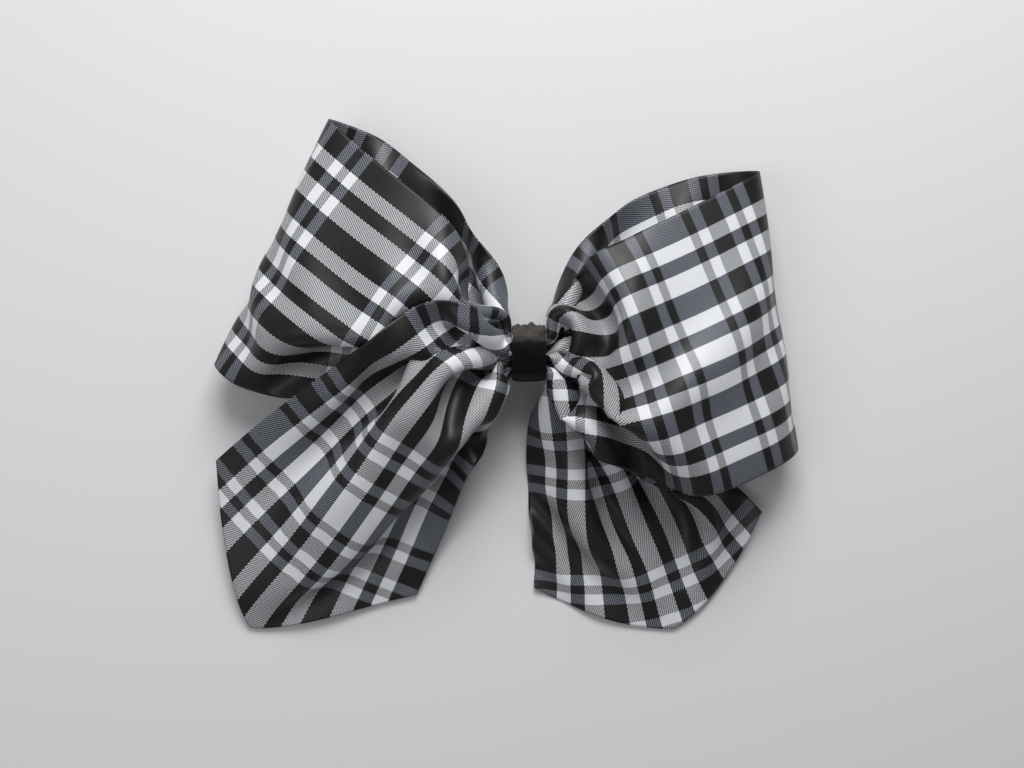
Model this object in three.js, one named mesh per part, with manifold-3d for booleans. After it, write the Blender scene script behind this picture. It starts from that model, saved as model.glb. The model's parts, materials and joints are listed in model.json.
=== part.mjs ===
// A hair bow of wide plaid ribbon: two loops and two tails gathered at the middle, bound with
// thread, wrapped in narrow velvet ribbon and fixed to the upper jaw of a sprung alligator clip.
//
// Millimetres, +Z up and out of the front of the bow. The bow lies on its back: +Y points up the
// bow, +X to its right. Everything is laid out round the knot first and the whole bow is then
// moved so that the middle of its footprint is the origin and it stands on z = 0.
import * as THREE from 'three';
import { mergeVertices } from 'three/addons/utils/BufferGeometryUtils.js';
import Module from 'manifold-3d';

const wasm = await Module();
wasm.setup();

// ---- Driving dimensions -------------------------------------------------------------------

const gap = 0.3; // air left between pieces that lie against each other

const ribbon = { thickness: 0.8, across: 12, loopSteps: 36, tailSteps: 18, pointDepth: 31, probe: 1e-3 };

const gather = {
  halfLength: 4.6, middle: 2.3, halfWidth: 5.2, bottom: 11.2, depth: 11.2, ridges: 3, thickness: 2.6,
};

const thread = { radius: 0.3, sides: 6, turns: 3, pitch: 0.9, stepsPerTurn: 48, corner: 1.2, gap: 0.45 };

const wrap = { halfLength: 4.7, thickness: 0.9, tight: -5.4, slack: 10.6, corner: 2 };

const plate = { tip: -27, heel: 20, halfWidth: 4, bottom: 8.2, thickness: 0.7 };

const glue = { halfLength: 12, halfWidth: 3.4, thickness: 0.65 };

const pin = {
  x: 8.5, z: 6.2, radius: 0.8, halfLength: 4.3, headRadius: 1.2, headThickness: 0.5, clearance: 0.15,
};

const ear = { halfLength: 2.2, inner: 3.3, radius: 1.6 };

const jaw = {
  tip: -25.5, bendUp: -23, bottom: 3.7, thickness: 0.6, halfWidth: 2.9,
  toothTop: 7.8, toothRoot: 6.9, toothPitch: 1.6, teethEnd: -7.4, lowWall: 5.6, wallEnd: 5.4,
  lug: 1.7, lugFoot: 2, lugSteps: 12, lip: 2, sink: 0.1,
};

const lever = { bend: 9.4, heel: 20.5, drop: 3.7, padStart: 13.5, padHalfWidth: 3.7 };

const coil = {
  wire: 0.28, sides: 6, radius: 1.25, turns: 4, pitch: 0.68, legEnd: 16, legSlope: 6, steps: 110,
};

const ribbonCloth = { color: 0x3a3a3e, roughness: 0.55, metalness: 0 };
const velvet = { color: 0x0b0b0c, roughness: 0.95, metalness: 0 };
const blackThread = { color: 0x151515, roughness: 0.8, metalness: 0 };
const clearGlue = { color: 0xd8d4c4, roughness: 0.35, metalness: 0 };
const nickel = { color: 0xb9bbbd, roughness: 0.3, metalness: 1 };
const springSteel = { color: 0x8f9194, roughness: 0.35, metalness: 1 };

// ---- Tools for solids ---------------------------------------------------------------------

const point = ([x, y, z]) => new THREE.Vector3(x, y, z);

function plainMesh(geometry) {
  const bare = geometry.clone();
  bare.deleteAttribute('normal');
  bare.deleteAttribute('uv');
  return mergeVertices(bare, 1e-4);
}

function solid(geometry) {
  const bare = plainMesh(geometry);
  const mesh = new wasm.Mesh({
    numProp: 3,
    vertProperties: new Float32Array(bare.attributes.position.array),
    triVerts: new Uint32Array(bare.index.array),
  });
  return new wasm.Manifold(mesh);
}

function geometryOf(body) {
  const { vertProperties, triVerts } = body.getMesh();
  const geometry = new THREE.BufferGeometry();
  geometry.setAttribute('position', new THREE.BufferAttribute(vertProperties, 3));
  geometry.setIndex(new THREE.BufferAttribute(triVerts, 1));
  return geometry;
}

// An outline of [x, z] points carried along Y from one side to the other.
function acrossY(outline, from, to) {
  const shape = new THREE.Shape(outline.map(([x, z]) => new THREE.Vector2(x, z)));
  const block = new THREE.ExtrudeGeometry(shape, { depth: to - from, bevelEnabled: false });
  block.rotateX(Math.PI / 2);
  block.translate(0, to, 0);
  return block;
}

// A shape in Y and Z carried along X, centred on x = 0.
function alongX(shape, halfLength) {
  const block = new THREE.ExtrudeGeometry(shape, {
    depth: 2 * halfLength, bevelEnabled: false, curveSegments: 6,
  });
  block.rotateX(Math.PI / 2);
  block.rotateZ(Math.PI / 2);
  block.translate(-halfLength, 0, 0);
  return block;
}

// A round bar along Y through (x, z).
function barAcross(radius, halfLength, x, z) {
  const bar = new THREE.CylinderGeometry(radius, radius, 2 * halfLength, 24);
  bar.translate(x, 0, z);
  return bar;
}

function ring(outer, thickness, corner) {
  const shape = roundedBox(outer, corner);
  const inner = {
    left: outer.left + thickness,
    right: outer.right - thickness,
    low: outer.low + thickness,
    high: outer.high - thickness,
  };
  shape.holes.push(roundedBox(inner, corner - thickness));
  return shape;
}

function roundedBox({ left, right, low, high }, corner) {
  const shape = new THREE.Shape();
  shape.absarc(right - corner, high - corner, corner, 0, Math.PI / 2);
  shape.absarc(left + corner, high - corner, corner, Math.PI / 2, Math.PI);
  shape.absarc(left + corner, low + corner, corner, Math.PI, 1.5 * Math.PI);
  shape.absarc(right - corner, low + corner, corner, 1.5 * Math.PI, 2 * Math.PI);
  shape.closePath();
  return shape;
}

// ---- Ribbon -------------------------------------------------------------------------------

const curvesAlong = (rails) => rails.map((rail) => new THREE.CatmullRomCurve3(rail.map(point)));

// How much of each of the three rails a line at u takes: the parabola that is one on that rail
// and nothing on the other two.
const shares = (u) => [(1 - u) * (1 - 2 * u), 4 * u * (1 - u), u * (2 * u - 1)];

// A surface through three rails: both selvages and the line midway between them.
function throughRails(curves) {
  return (u, v) => {
    const place = new THREE.Vector3();
    shares(u).forEach((share, k) => place.addScaledVector(curves[k].getPointAt(v), share));
    return place;
  };
}

// The same surface, cut to a point: a straight cut from each selvage to the tip on the middle
// line. Each selvage rail runs on past its corner by the depth of the point.
function cutToPoint(curves) {
  const surface = throughRails(curves);
  const lengths = curves.map((curve) => curve.getLength());
  return (u, v) => {
    const length = shares(u).reduce((sum, share, k) => sum + share * lengths[k], 0);
    const end = 1 - (ribbon.pointDepth / length) * Math.abs(2 * u - 1);
    return surface(u, v * end);
  };
}

function normalAt(surface, u, v) {
  const u0 = Math.max(u - ribbon.probe, 0);
  const u1 = Math.min(u + ribbon.probe, 1);
  const v0 = Math.max(v - ribbon.probe, 0);
  const v1 = Math.min(v + ribbon.probe, 1);
  const alongU = surface(u1, v).sub(surface(u0, v));
  const alongV = surface(u, v1).sub(surface(u, v0));
  return alongU.cross(alongV).normalize();
}

// A closed slab half a thickness to each side of a surface, with square edges all round.
function slab(surface, along) {
  const rows = ribbon.across + 1;
  const positions = [];
  for (const side of [1, -1]) {
    for (let j = 0; j <= along; j += 1) {
      for (let i = 0; i < rows; i += 1) {
        const u = i / ribbon.across;
        const v = j / along;
        const offset = normalAt(surface, u, v).multiplyScalar((side * ribbon.thickness) / 2);
        positions.push(...surface(u, v).add(offset).toArray());
      }
    }
  }
  const geometry = new THREE.BufferGeometry();
  geometry.setAttribute('position', new THREE.Float32BufferAttribute(positions, 3));
  geometry.setIndex(slabFaces(rows, along));
  return geometry;
}

function slabFaces(rows, along) {
  const back = rows * (along + 1);
  const faces = [];
  const quad = (a, b, c, d) => faces.push(a, b, c, a, c, d);
  for (let j = 0; j < along; j += 1) {
    for (let i = 0; i < rows - 1; i += 1) {
      const a = j * rows + i;
      quad(a, a + 1, a + rows + 1, a + rows);
      quad(back + a, back + a + rows, back + a + rows + 1, back + a + 1);
    }
  }
  for (let i = 0; i < rows - 1; i += 1) {
    const end = along * rows + i;
    quad(i, back + i, back + i + 1, i + 1);
    quad(end + 1, back + end + 1, back + end, end);
  }
  for (let j = 0; j < along; j += 1) {
    const low = j * rows;
    const high = low + rows - 1;
    quad(low + rows, back + low + rows, back + low, low);
    quad(high, back + high, back + high + rows, high + rows);
  }
  return faces;
}

// Each loop's rails leave the knot on the front layer, turn at the outer fold and come back to
// the knot on the back layer.
const rightLoopRails = [
  [
    [5.5, -5, 19.5], [13, -13, 22], [26, -26, 24], [41, -33, 24], [58, -32.3, 21], [69, -25.5, 17],
    [73, -18.5, 12], [68, -14, 7.4], [54, -16, 4.4], [36, -15, 4.6], [20, -9, 9.8], [5.5, -3.5, 15],
  ],
  [
    [5.5, 0.5, 22.5], [16, 2, 29], [34, 5, 33.5], [52, 9, 30], [64, 13, 22.5],
    [67.8, 15.5, 15], [64, 15, 7.5], [50, 14, 3], [34, 10, 5], [20, 6, 11], [5.5, 0.5, 15.5],
  ],
  [
    [5.5, 6, 20.5], [11, 16, 24.5], [20, 29.5, 27.5], [36, 39, 27], [54, 47.8, 22],
    [64.4, 54, 15], [57, 55, 8.6], [42, 50, 6], [27, 41.5, 7.4], [13, 30, 11], [6.4, 14, 14.4],
    [5.7, 7.4, 15.6],
  ],
];

const leftLoopRails = [
  [
    [-5.5, 6, 17], [-11, 14, 21.4], [-19.5, 32.7, 26], [-31.6, 45.5, 26.4], [-43.6, 55.9, 22],
    [-54.8, 68.2, 15], [-49.5, 66.6, 9], [-39.5, 60.6, 5.6], [-29, 53, 5.6], [-17, 39, 8], [-8, 24, 10.6],
    [-5.5, 7, 12.6],
  ],
  [
    [-5.5, 0.8, 18], [-20, 9, 24.5], [-38, 20, 29.5], [-55, 28, 27], [-66, 33.5, 21],
    [-70, 35, 14], [-66, 34, 7], [-50, 27, 2.4], [-31, 17, 6.6], [-16, 7, 11.6], [-5.5, 0.5, 12.4],
  ],
  [
    [-5.5, -4.5, 15.6], [-17, -9, 18], [-36, -12, 20], [-55, -11.5, 20], [-70, -8.5, 18], [-80, -3.5, 15],
    [-84.6, 2.5, 11], [-78, 3, 6], [-62, -1, 3.4], [-45, -3, 6.4], [-29, -3.4, 11], [-5.5, -3, 12],
  ],
];

// Each tail's rails run from the knot to the level of the tip.
const leftTailRails = [
  [
    [-5.5, 6, 21.5], [-15.3, 13.4, 28.5], [-31, 13.7, 32], [-40.6, 7.4, 31], [-54.3, -2.7, 27.5],
    [-72, -15, 19], [-89.7, -28.1, 8], [-106, -53, 1],
  ],
  [
    [-5.5, 0.8, 23], [-18, -6, 28], [-34, -22, 26], [-52, -42, 17.5], [-66, -58, 8.5], [-77.4, -73.1, 0.6],
  ],
  [
    [-5.5, -5, 20], [-9, -14, 21], [-16, -28, 17.5], [-23, -44, 11.5], [-31.9, -64.9, 3.5], [-43, -93, -1],
  ],
];

const rightTailRails = [
  [
    [5.7, -5.2, 12.2], [5.2, -9, 10.6], [3.2, -16, 8], [2.4, -30, 4.6], [2.2, -46, 2.4],
    [2.4, -61.4, 1.2], [14, -89, 1],
  ],
  [
    [5.7, -4, 12], [10, -16, 7.4], [18, -36, 3], [28, -56, 2.4], [38.7, -74.4, 1.6],
  ],
  [
    [5.7, -3, 11.8], [12, -10, 7], [26, -20, 2.2], [44, -31, 2.2], [61.1, -41.2, 4], [74, -66, 5],
  ],
];

// The ribbon folded like a fan where it is gathered: up and down over three ridges.
function gatheredCentre() {
  const shape = new THREE.Shape();
  const steps = 2 * gather.ridges;
  const low = gather.bottom;
  const high = low + gather.depth - gather.thickness;
  const height = (step) => (step % 2 === 0 ? low : high);
  const side = (step) => gather.middle - gather.halfWidth + (2 * gather.halfWidth * step) / steps;
  shape.moveTo(side(0), height(0));
  for (let step = 1; step <= steps; step += 1) {
    shape.lineTo(side(step), height(step));
  }
  for (let step = steps; step >= 0; step -= 1) {
    shape.lineTo(side(step), height(step) + gather.thickness);
  }
  return alongX(shape, gather.halfLength);
}

// ---- Binding ------------------------------------------------------------------------------

// A thread wound round the gather: a helix on a rounded box.
class Winding extends THREE.Curve {
  constructor(path, turns, pitch) {
    super();
    this.path = path;
    this.turns = turns;
    this.pitch = pitch;
  }

  getPoint(t, target = new THREE.Vector3()) {
    const around = (t * this.turns) % 1;
    const { x: y, y: z } = this.path.getPointAt(around);
    return target.set((t - 0.5) * this.turns * this.pitch, y, z);
  }
}

function roundSection(radius, sides) {
  const section = new THREE.Shape();
  for (let k = 0; k < sides; k += 1) {
    const angle = (2 * Math.PI * k) / sides;
    const place = [radius * Math.cos(angle), radius * Math.sin(angle)];
    if (k === 0) section.moveTo(...place);
    else section.lineTo(...place);
  }
  section.closePath();
  return section;
}

function bindingThread() {
  const reach = thread.gap + thread.radius;
  const box = {
    left: gather.middle - gather.halfWidth - reach,
    right: gather.middle + gather.halfWidth + reach,
    low: gather.bottom - reach,
    high: gather.bottom + gather.depth + reach,
  };
  const path = new Winding(roundedBox(box, thread.corner), thread.turns, thread.pitch);
  const steps = thread.turns * thread.stepsPerTurn;
  return new THREE.ExtrudeGeometry(roundSection(thread.radius, thread.sides), { steps, extrudePath: path });
}

function centreWrap() {
  const outer = {
    left: wrap.tight,
    right: wrap.slack,
    low: plate.bottom - gap - wrap.thickness,
    high: gather.bottom + gather.depth + thread.gap + 2 * thread.radius + gap + wrap.thickness,
  };
  return alongX(ring(outer, wrap.thickness, wrap.corner), wrap.halfLength);
}

function glueBed() {
  const bed = new THREE.BoxGeometry(2 * glue.halfLength, 2 * glue.halfWidth, glue.thickness);
  bed.translate(0, 0, plate.bottom + plate.thickness + gap + glue.thickness / 2);
  return bed;
}

// ---- Alligator clip -----------------------------------------------------------------------

function upperJaw() {
  const outline = new THREE.Shape();
  const { tip, heel, halfWidth } = plate;
  outline.absarc(heel - halfWidth, 0, halfWidth, -Math.PI / 2, Math.PI / 2);
  outline.absarc(tip + halfWidth, 0, halfWidth, Math.PI / 2, 1.5 * Math.PI);
  outline.closePath();
  const sheet = new THREE.ExtrudeGeometry(outline, {
    depth: plate.thickness, bevelEnabled: false, curveSegments: 12,
  });
  sheet.translate(0, 0, plate.bottom);
  let body = solid(sheet);
  for (const side of [1, -1]) body = body.add(solid(pinEar(side)));
  return geometryOf(body);
}

// A lug bent down from the plate's edge, with a round end and a hole for the pin.
function pinEar(side) {
  const shape = new THREE.Shape();
  const top = plate.bottom + plate.thickness / 2;
  shape.moveTo(pin.x + ear.halfLength, top);
  shape.lineTo(pin.x - ear.halfLength, top);
  shape.absarc(pin.x, pin.z, ear.radius, Math.PI, 2 * Math.PI);
  shape.closePath();
  const hole = new THREE.Path();
  hole.absarc(pin.x, pin.z, pin.radius + pin.clearance, 0, 2 * Math.PI);
  const block = new THREE.ExtrudeGeometry(withHole(shape, hole), {
    depth: plate.halfWidth - ear.inner, bevelEnabled: false, curveSegments: 12,
  });
  block.rotateX(Math.PI / 2);
  block.translate(0, side > 0 ? plate.halfWidth : -ear.inner, 0);
  return block;
}

function withHole(shape, hole) {
  shape.holes.push(hole);
  return shape;
}

function hingePin() {
  const { radius, halfLength, headRadius, headThickness } = pin;
  const end = halfLength + headThickness;
  const profile = [
    [0, -end], [headRadius, -end], [headRadius, -halfLength], [radius, -halfLength],
    [radius, halfLength], [headRadius, halfLength], [headRadius, end], [0, end],
  ];
  const body = new THREE.LatheGeometry(profile.map(([x, y]) => new THREE.Vector2(x, y)), 24);
  body.translate(pin.x, 0, pin.z);
  return body;
}

// The lower jaw is a channel: a floor that turns up at the tip and down into the thumb lever,
// with a toothed wall along each side and a lug on each wall for the pin.
function lowerJaw() {
  const { bottom, thickness, halfWidth } = jaw;
  const top = bottom + thickness;
  const floor = [
    [jaw.tip, jaw.toothTop], [jaw.tip, bottom + jaw.lip], [jaw.bendUp, bottom], [lever.bend, bottom],
    [lever.heel, bottom - lever.drop], [lever.heel, top - lever.drop], [lever.bend, top + jaw.sink],
    [jaw.bendUp + thickness / 2, top], [jaw.tip + thickness, bottom + jaw.lip + thickness / 2],
    [jaw.tip + thickness, jaw.toothTop],
  ];
  let body = solid(acrossY(floor, -halfWidth, halfWidth));
  body = body.add(solid(thumbPad()));
  for (const side of [1, -1]) {
    const inner = side > 0 ? halfWidth - thickness : -halfWidth;
    body = body.add(solid(acrossY(toothedWall(), inner, inner + thickness)));
    body = body.add(solid(lugPlate(inner, inner + thickness)));
  }
  const bore = barAcross(pin.radius + pin.clearance, plate.halfWidth, pin.x, pin.z);
  return geometryOf(body.subtract(solid(bore)));
}

function thumbPad() {
  const slope = lever.drop / (lever.heel - lever.bend);
  const lowAt = (x) => jaw.bottom - slope * (x - lever.bend);
  const pad = [
    [lever.padStart, lowAt(lever.padStart)], [lever.heel, lowAt(lever.heel)],
    [lever.heel, lowAt(lever.heel) + jaw.thickness],
    [lever.padStart, lowAt(lever.padStart) + jaw.thickness],
  ];
  return acrossY(pad, -lever.padHalfWidth, lever.padHalfWidth);
}

function toothedWall() {
  const low = jaw.bottom + jaw.sink;
  const front = jaw.tip + 2 * jaw.sink;
  const wall = [[jaw.wallEnd, low], [jaw.wallEnd, jaw.lowWall], [jaw.teethEnd, jaw.lowWall]];
  for (let x = jaw.teethEnd; x > jaw.tip + jaw.toothPitch; x -= jaw.toothPitch) {
    wall.push([x, jaw.toothRoot]);
    wall.push([x - jaw.toothPitch / 2, jaw.toothTop]);
  }
  wall.push([front, jaw.toothRoot], [front, jaw.bottom + jaw.lip], [jaw.bendUp, low]);
  return wall.reverse();
}

function lugPlate(from, to) {
  const round = [];
  for (let k = 0; k <= jaw.lugSteps; k += 1) {
    const angle = (Math.PI * k) / jaw.lugSteps;
    round.push([pin.x + jaw.lug * Math.cos(angle), pin.z + jaw.lug * Math.sin(angle)]);
  }
  const low = jaw.bottom + jaw.sink;
  return acrossY([[pin.x - jaw.lug - jaw.lugFoot, low], [pin.x + jaw.lug, low], ...round], from, to);
}

// A torsion spring: a coil round the pin whose two legs lie against the plate and the lever.
class TorsionSpring extends THREE.Curve {
  constructor(upAngle, downAngle, leg) {
    super();
    this.start = upAngle;
    this.sweep = 2 * Math.PI * (coil.turns + 1) + downAngle - upAngle;
    this.leg = leg;
    this.length = this.sweep * coil.radius + 2 * leg;
  }

  coilPoint(swept, target) {
    const angle = this.start + swept;
    const travel = swept / (2 * Math.PI) - this.sweep / (4 * Math.PI);
    const x = pin.x + coil.radius * Math.cos(angle);
    const z = pin.z + coil.radius * Math.sin(angle);
    return target.set(x, travel * coil.pitch, z);
  }

  getPoint(t, target = new THREE.Vector3()) {
    const along = t * this.length;
    const swept = THREE.MathUtils.clamp((along - this.leg) / coil.radius, 0, this.sweep);
    this.coilPoint(swept, target);
    const past = along - this.leg - swept * coil.radius;
    const angle = this.start + swept;
    target.x -= past * Math.sin(angle);
    target.z += past * Math.cos(angle);
    return target;
  }
}

function clipSpring() {
  const leg = coil.legEnd - pin.x;
  const up = Math.PI / 2;
  const down = -up - THREE.MathUtils.degToRad(coil.legSlope);
  const path = new TorsionSpring(up, down, leg);
  const section = roundSection(coil.wire, coil.sides);
  return new THREE.ExtrudeGeometry(section, { steps: coil.steps, extrudePath: path });
}

// ---- Assembly -----------------------------------------------------------------------------

function named(name, geometry, finish) {
  const mesh = new THREE.Mesh(geometry, new THREE.MeshStandardMaterial(finish));
  mesh.name = name;
  return mesh;
}

const rightLoop = slab(throughRails(curvesAlong(rightLoopRails)), ribbon.loopSteps);
const leftLoop = slab(throughRails(curvesAlong(leftLoopRails)), ribbon.loopSteps);
const leftTail = slab(cutToPoint(curvesAlong(leftTailRails)), ribbon.tailSteps);
const rightTail = slab(cutToPoint(curvesAlong(rightTailRails)), ribbon.tailSteps);

const bow = new THREE.Group();
bow.add(
  named('left_loop', leftLoop, ribbonCloth),
  named('right_loop', rightLoop, ribbonCloth),
  named('left_tail', leftTail, ribbonCloth),
  named('right_tail', rightTail, ribbonCloth),
  named('gathered_centre', gatheredCentre(), ribbonCloth),
  named('binding_thread', bindingThread(), blackThread),
  named('centre_wrap', centreWrap(), velvet),
  named('glue_bed', glueBed(), clearGlue),
  named('clip_upper_jaw', upperJaw(), nickel),
  named('clip_lower_jaw', lowerJaw(), nickel),
  named('clip_hinge_pin', hingePin(), nickel),
  named('clip_spring', clipSpring(), springSteel),
);

const extent = new THREE.Box3().setFromObject(bow, true);
const middle = extent.getCenter(new THREE.Vector3());
bow.position.set(-middle.x, -middle.y, -extent.min.z);

export default bow;
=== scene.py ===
"""A hair bow of wide plaid ribbon on an alligator clip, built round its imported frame.

Two loops and two tails of one ribbon are gathered like a fan, bound with thread, wrapped in a
narrow velvet ribbon and glued to the clip. Lengths are millimetres measured from the knot, with x
along the bow, y towards its top and z up from the table. They become metres in the shared frame
when a piece is made.
"""
import json
import logging
from collections.abc import Callable
from dataclasses import dataclass
from enum import Enum
from typing import ClassVar

import bpy
import numpy as np
from mathutils import Matrix, Vector


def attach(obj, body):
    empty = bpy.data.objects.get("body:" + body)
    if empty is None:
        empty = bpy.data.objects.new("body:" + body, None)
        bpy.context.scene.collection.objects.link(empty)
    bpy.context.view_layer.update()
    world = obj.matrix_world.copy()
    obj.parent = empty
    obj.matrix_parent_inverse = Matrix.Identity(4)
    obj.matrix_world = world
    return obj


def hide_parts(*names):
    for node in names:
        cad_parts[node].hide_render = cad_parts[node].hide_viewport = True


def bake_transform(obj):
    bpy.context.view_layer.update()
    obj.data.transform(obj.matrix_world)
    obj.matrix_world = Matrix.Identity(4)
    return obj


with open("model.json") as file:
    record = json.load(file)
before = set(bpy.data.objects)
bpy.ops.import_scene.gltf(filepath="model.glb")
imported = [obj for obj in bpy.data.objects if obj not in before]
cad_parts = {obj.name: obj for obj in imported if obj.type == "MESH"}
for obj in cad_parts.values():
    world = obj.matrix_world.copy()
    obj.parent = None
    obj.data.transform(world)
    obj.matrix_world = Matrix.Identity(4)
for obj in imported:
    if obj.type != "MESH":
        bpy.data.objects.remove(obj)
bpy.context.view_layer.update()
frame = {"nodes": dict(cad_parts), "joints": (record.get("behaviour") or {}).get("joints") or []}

MM = 0.001
LOG = logging.getLogger("hair_bow")

# The hinge pin as measured from the knot. The frame says where the pin is, and so where the knot is.
PIN = np.array([8.5, 0.0, 6.2])
KNOT = np.array(frame["joints"][0]["pos_m"]) / MM - PIN

# The plaid's marks are sighted from the eye on to a level sheet of glass.
EYE = np.array([-4.6, -21.0, 446.7])
GLASS = 17.0

# The rounded oval that the thread draws round the gather, in y and z: its middle, how far it
# reaches, and the power of its edge, two for an ellipse.
BUNDLE = np.array([1.8, 16.7])
BUNDLE_REACH = np.array([4.9, 6.3])
BUNDLE_SQUARE = 2.3

RIBBON_WIDTH = 75.0
RIBBON_THICKNESS = 0.26

# A limit moves the free points of a sheet to where cloth can lie: it takes their places and
# whether each is free.
Limit = Callable[[np.ndarray, np.ndarray], None]


class Body(str, Enum):
    """The moving bodies of the frame."""

    BOW = "bow"
    JAW = "clip_jaw"


class Slot(str, Enum):
    """The finishes named in the frame."""

    PLAID = "plaid_ribbon"
    VELVET = "velvet_ribbon"
    THREAD = "binding_thread"
    GLUE = "hot_melt_glue"
    NICKEL = "nickel_plated_steel"
    SPRING = "spring_steel"


# ---- Node graphs ----------------------------------------------------------------------------


class Graph:
    """The node tree of one material, filled through short calls."""

    def __init__(self, name: str) -> None:
        """Starts an empty material.

        Args:
            name: What the material is called.
        """
        self.material = bpy.data.materials.new(name)
        self.material.use_nodes = True
        self.tree = self.material.node_tree
        self.tree.nodes.clear()

    def node(
        self, kind: str, settings: dict | None = None, inputs: dict | None = None
    ) -> bpy.types.Node:
        """Adds one node.

        Args:
            kind: The node's type name without its "ShaderNode" prefix.
            settings: Attributes to set on the node.
            inputs: Values or sockets for its inputs, by name or number.

        Returns:
            The new node.
        """
        node = self.tree.nodes.new("ShaderNode" + kind)
        for name, value in (settings or {}).items():
            setattr(node, name, value)
        for name, value in (inputs or {}).items():
            self.feed(node.inputs[name], value)
        return node

    def feed(self, socket: bpy.types.NodeSocket, value: object) -> None:
        """Joins a socket to an input, or sets the input's own value.

        Args:
            socket: The input.
            value: A number of the graph, a socket, or a plain value.
        """
        source = value.socket if isinstance(value, Number) else value
        if isinstance(source, bpy.types.NodeSocket):
            self.tree.links.new(source, socket)
        else:
            socket.default_value = source

    def math(self, operation: str, *values: object) -> "Number":
        """Adds a Math node.

        Args:
            operation: The Math node's operation.
            values: Numbers or plain values for its inputs, in order.

        Returns:
            The result as a number.
        """
        node = self.node("Math", {"operation": operation}, dict(enumerate(values)))
        return Number(self, node.outputs[0])

    def finish(self, surface: bpy.types.NodeSocket) -> bpy.types.Material:
        """Joins the surface to the output.

        Args:
            surface: The shader's socket.

        Returns:
            The finished material.
        """
        out = self.node("OutputMaterial")
        self.tree.links.new(surface, out.inputs["Surface"])
        return self.material


class Number:
    """A number in a graph. Arithmetic on it adds Math nodes."""

    def __init__(self, graph: Graph, socket: bpy.types.NodeSocket) -> None:
        """Wraps one socket of a graph."""
        self.graph = graph
        self.socket = socket

    def math(self, operation: str, *others: object) -> "Number":
        """Adds a Math node.

        Args:
            operation: The Math node's operation.
            others: Numbers or plain values for its other inputs.

        Returns:
            The result as a number.
        """
        return self.graph.math(operation, self, *others)

    def __add__(self, other: object) -> "Number":
        """Adds."""
        return self.math("ADD", other)

    __radd__ = __add__

    def __sub__(self, other: object) -> "Number":
        """Takes away."""
        return self.math("SUBTRACT", other)

    def __rsub__(self, other: float) -> "Number":
        """Takes this from a plain value."""
        return self.graph.math("SUBTRACT", other, self)

    def __mul__(self, other: object) -> "Number":
        """Multiplies."""
        return self.math("MULTIPLY", other)

    __rmul__ = __mul__

    def __truediv__(self, other: object) -> "Number":
        """Divides."""
        return self.math("DIVIDE", other)

    def over(self, edge: object) -> "Number":
        """One where this is greater than the edge, otherwise nothing."""
        return self.math("GREATER_THAN", edge)

    def floor(self) -> "Number":
        """Rounds down."""
        return self.math("FLOOR")

    def abs(self) -> "Number":
        """Drops the sign."""
        return self.math("ABSOLUTE")

    def wrapped(self, period: float) -> "Number":
        """The distance to the nearest whole number of periods, with its sign."""
        return self.math("WRAP", period / 2, -period / 2)

    def between(self, low: float, high: float) -> "Number":
        """Spreads a number from 0..1 over low..high."""
        return self * (high - low) + low


def blend(graph: Graph, share: object, first: object, second: object) -> bpy.types.NodeSocket:
    """Mixes two colours.

    Args:
        graph: The graph to add to.
        share: How much of the second colour, 0 to 1.
        first: The colour at 0.
        second: The colour at 1.

    Returns:
        The colour socket.
    """
    factor, first_colour, second_colour, result = 0, 6, 7, 2
    inputs = {factor: share, first_colour: first, second_colour: second}
    return graph.node("Mix", {"data_type": "RGBA"}, inputs).outputs[result]


# ---- Finishes -------------------------------------------------------------------------------


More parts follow.
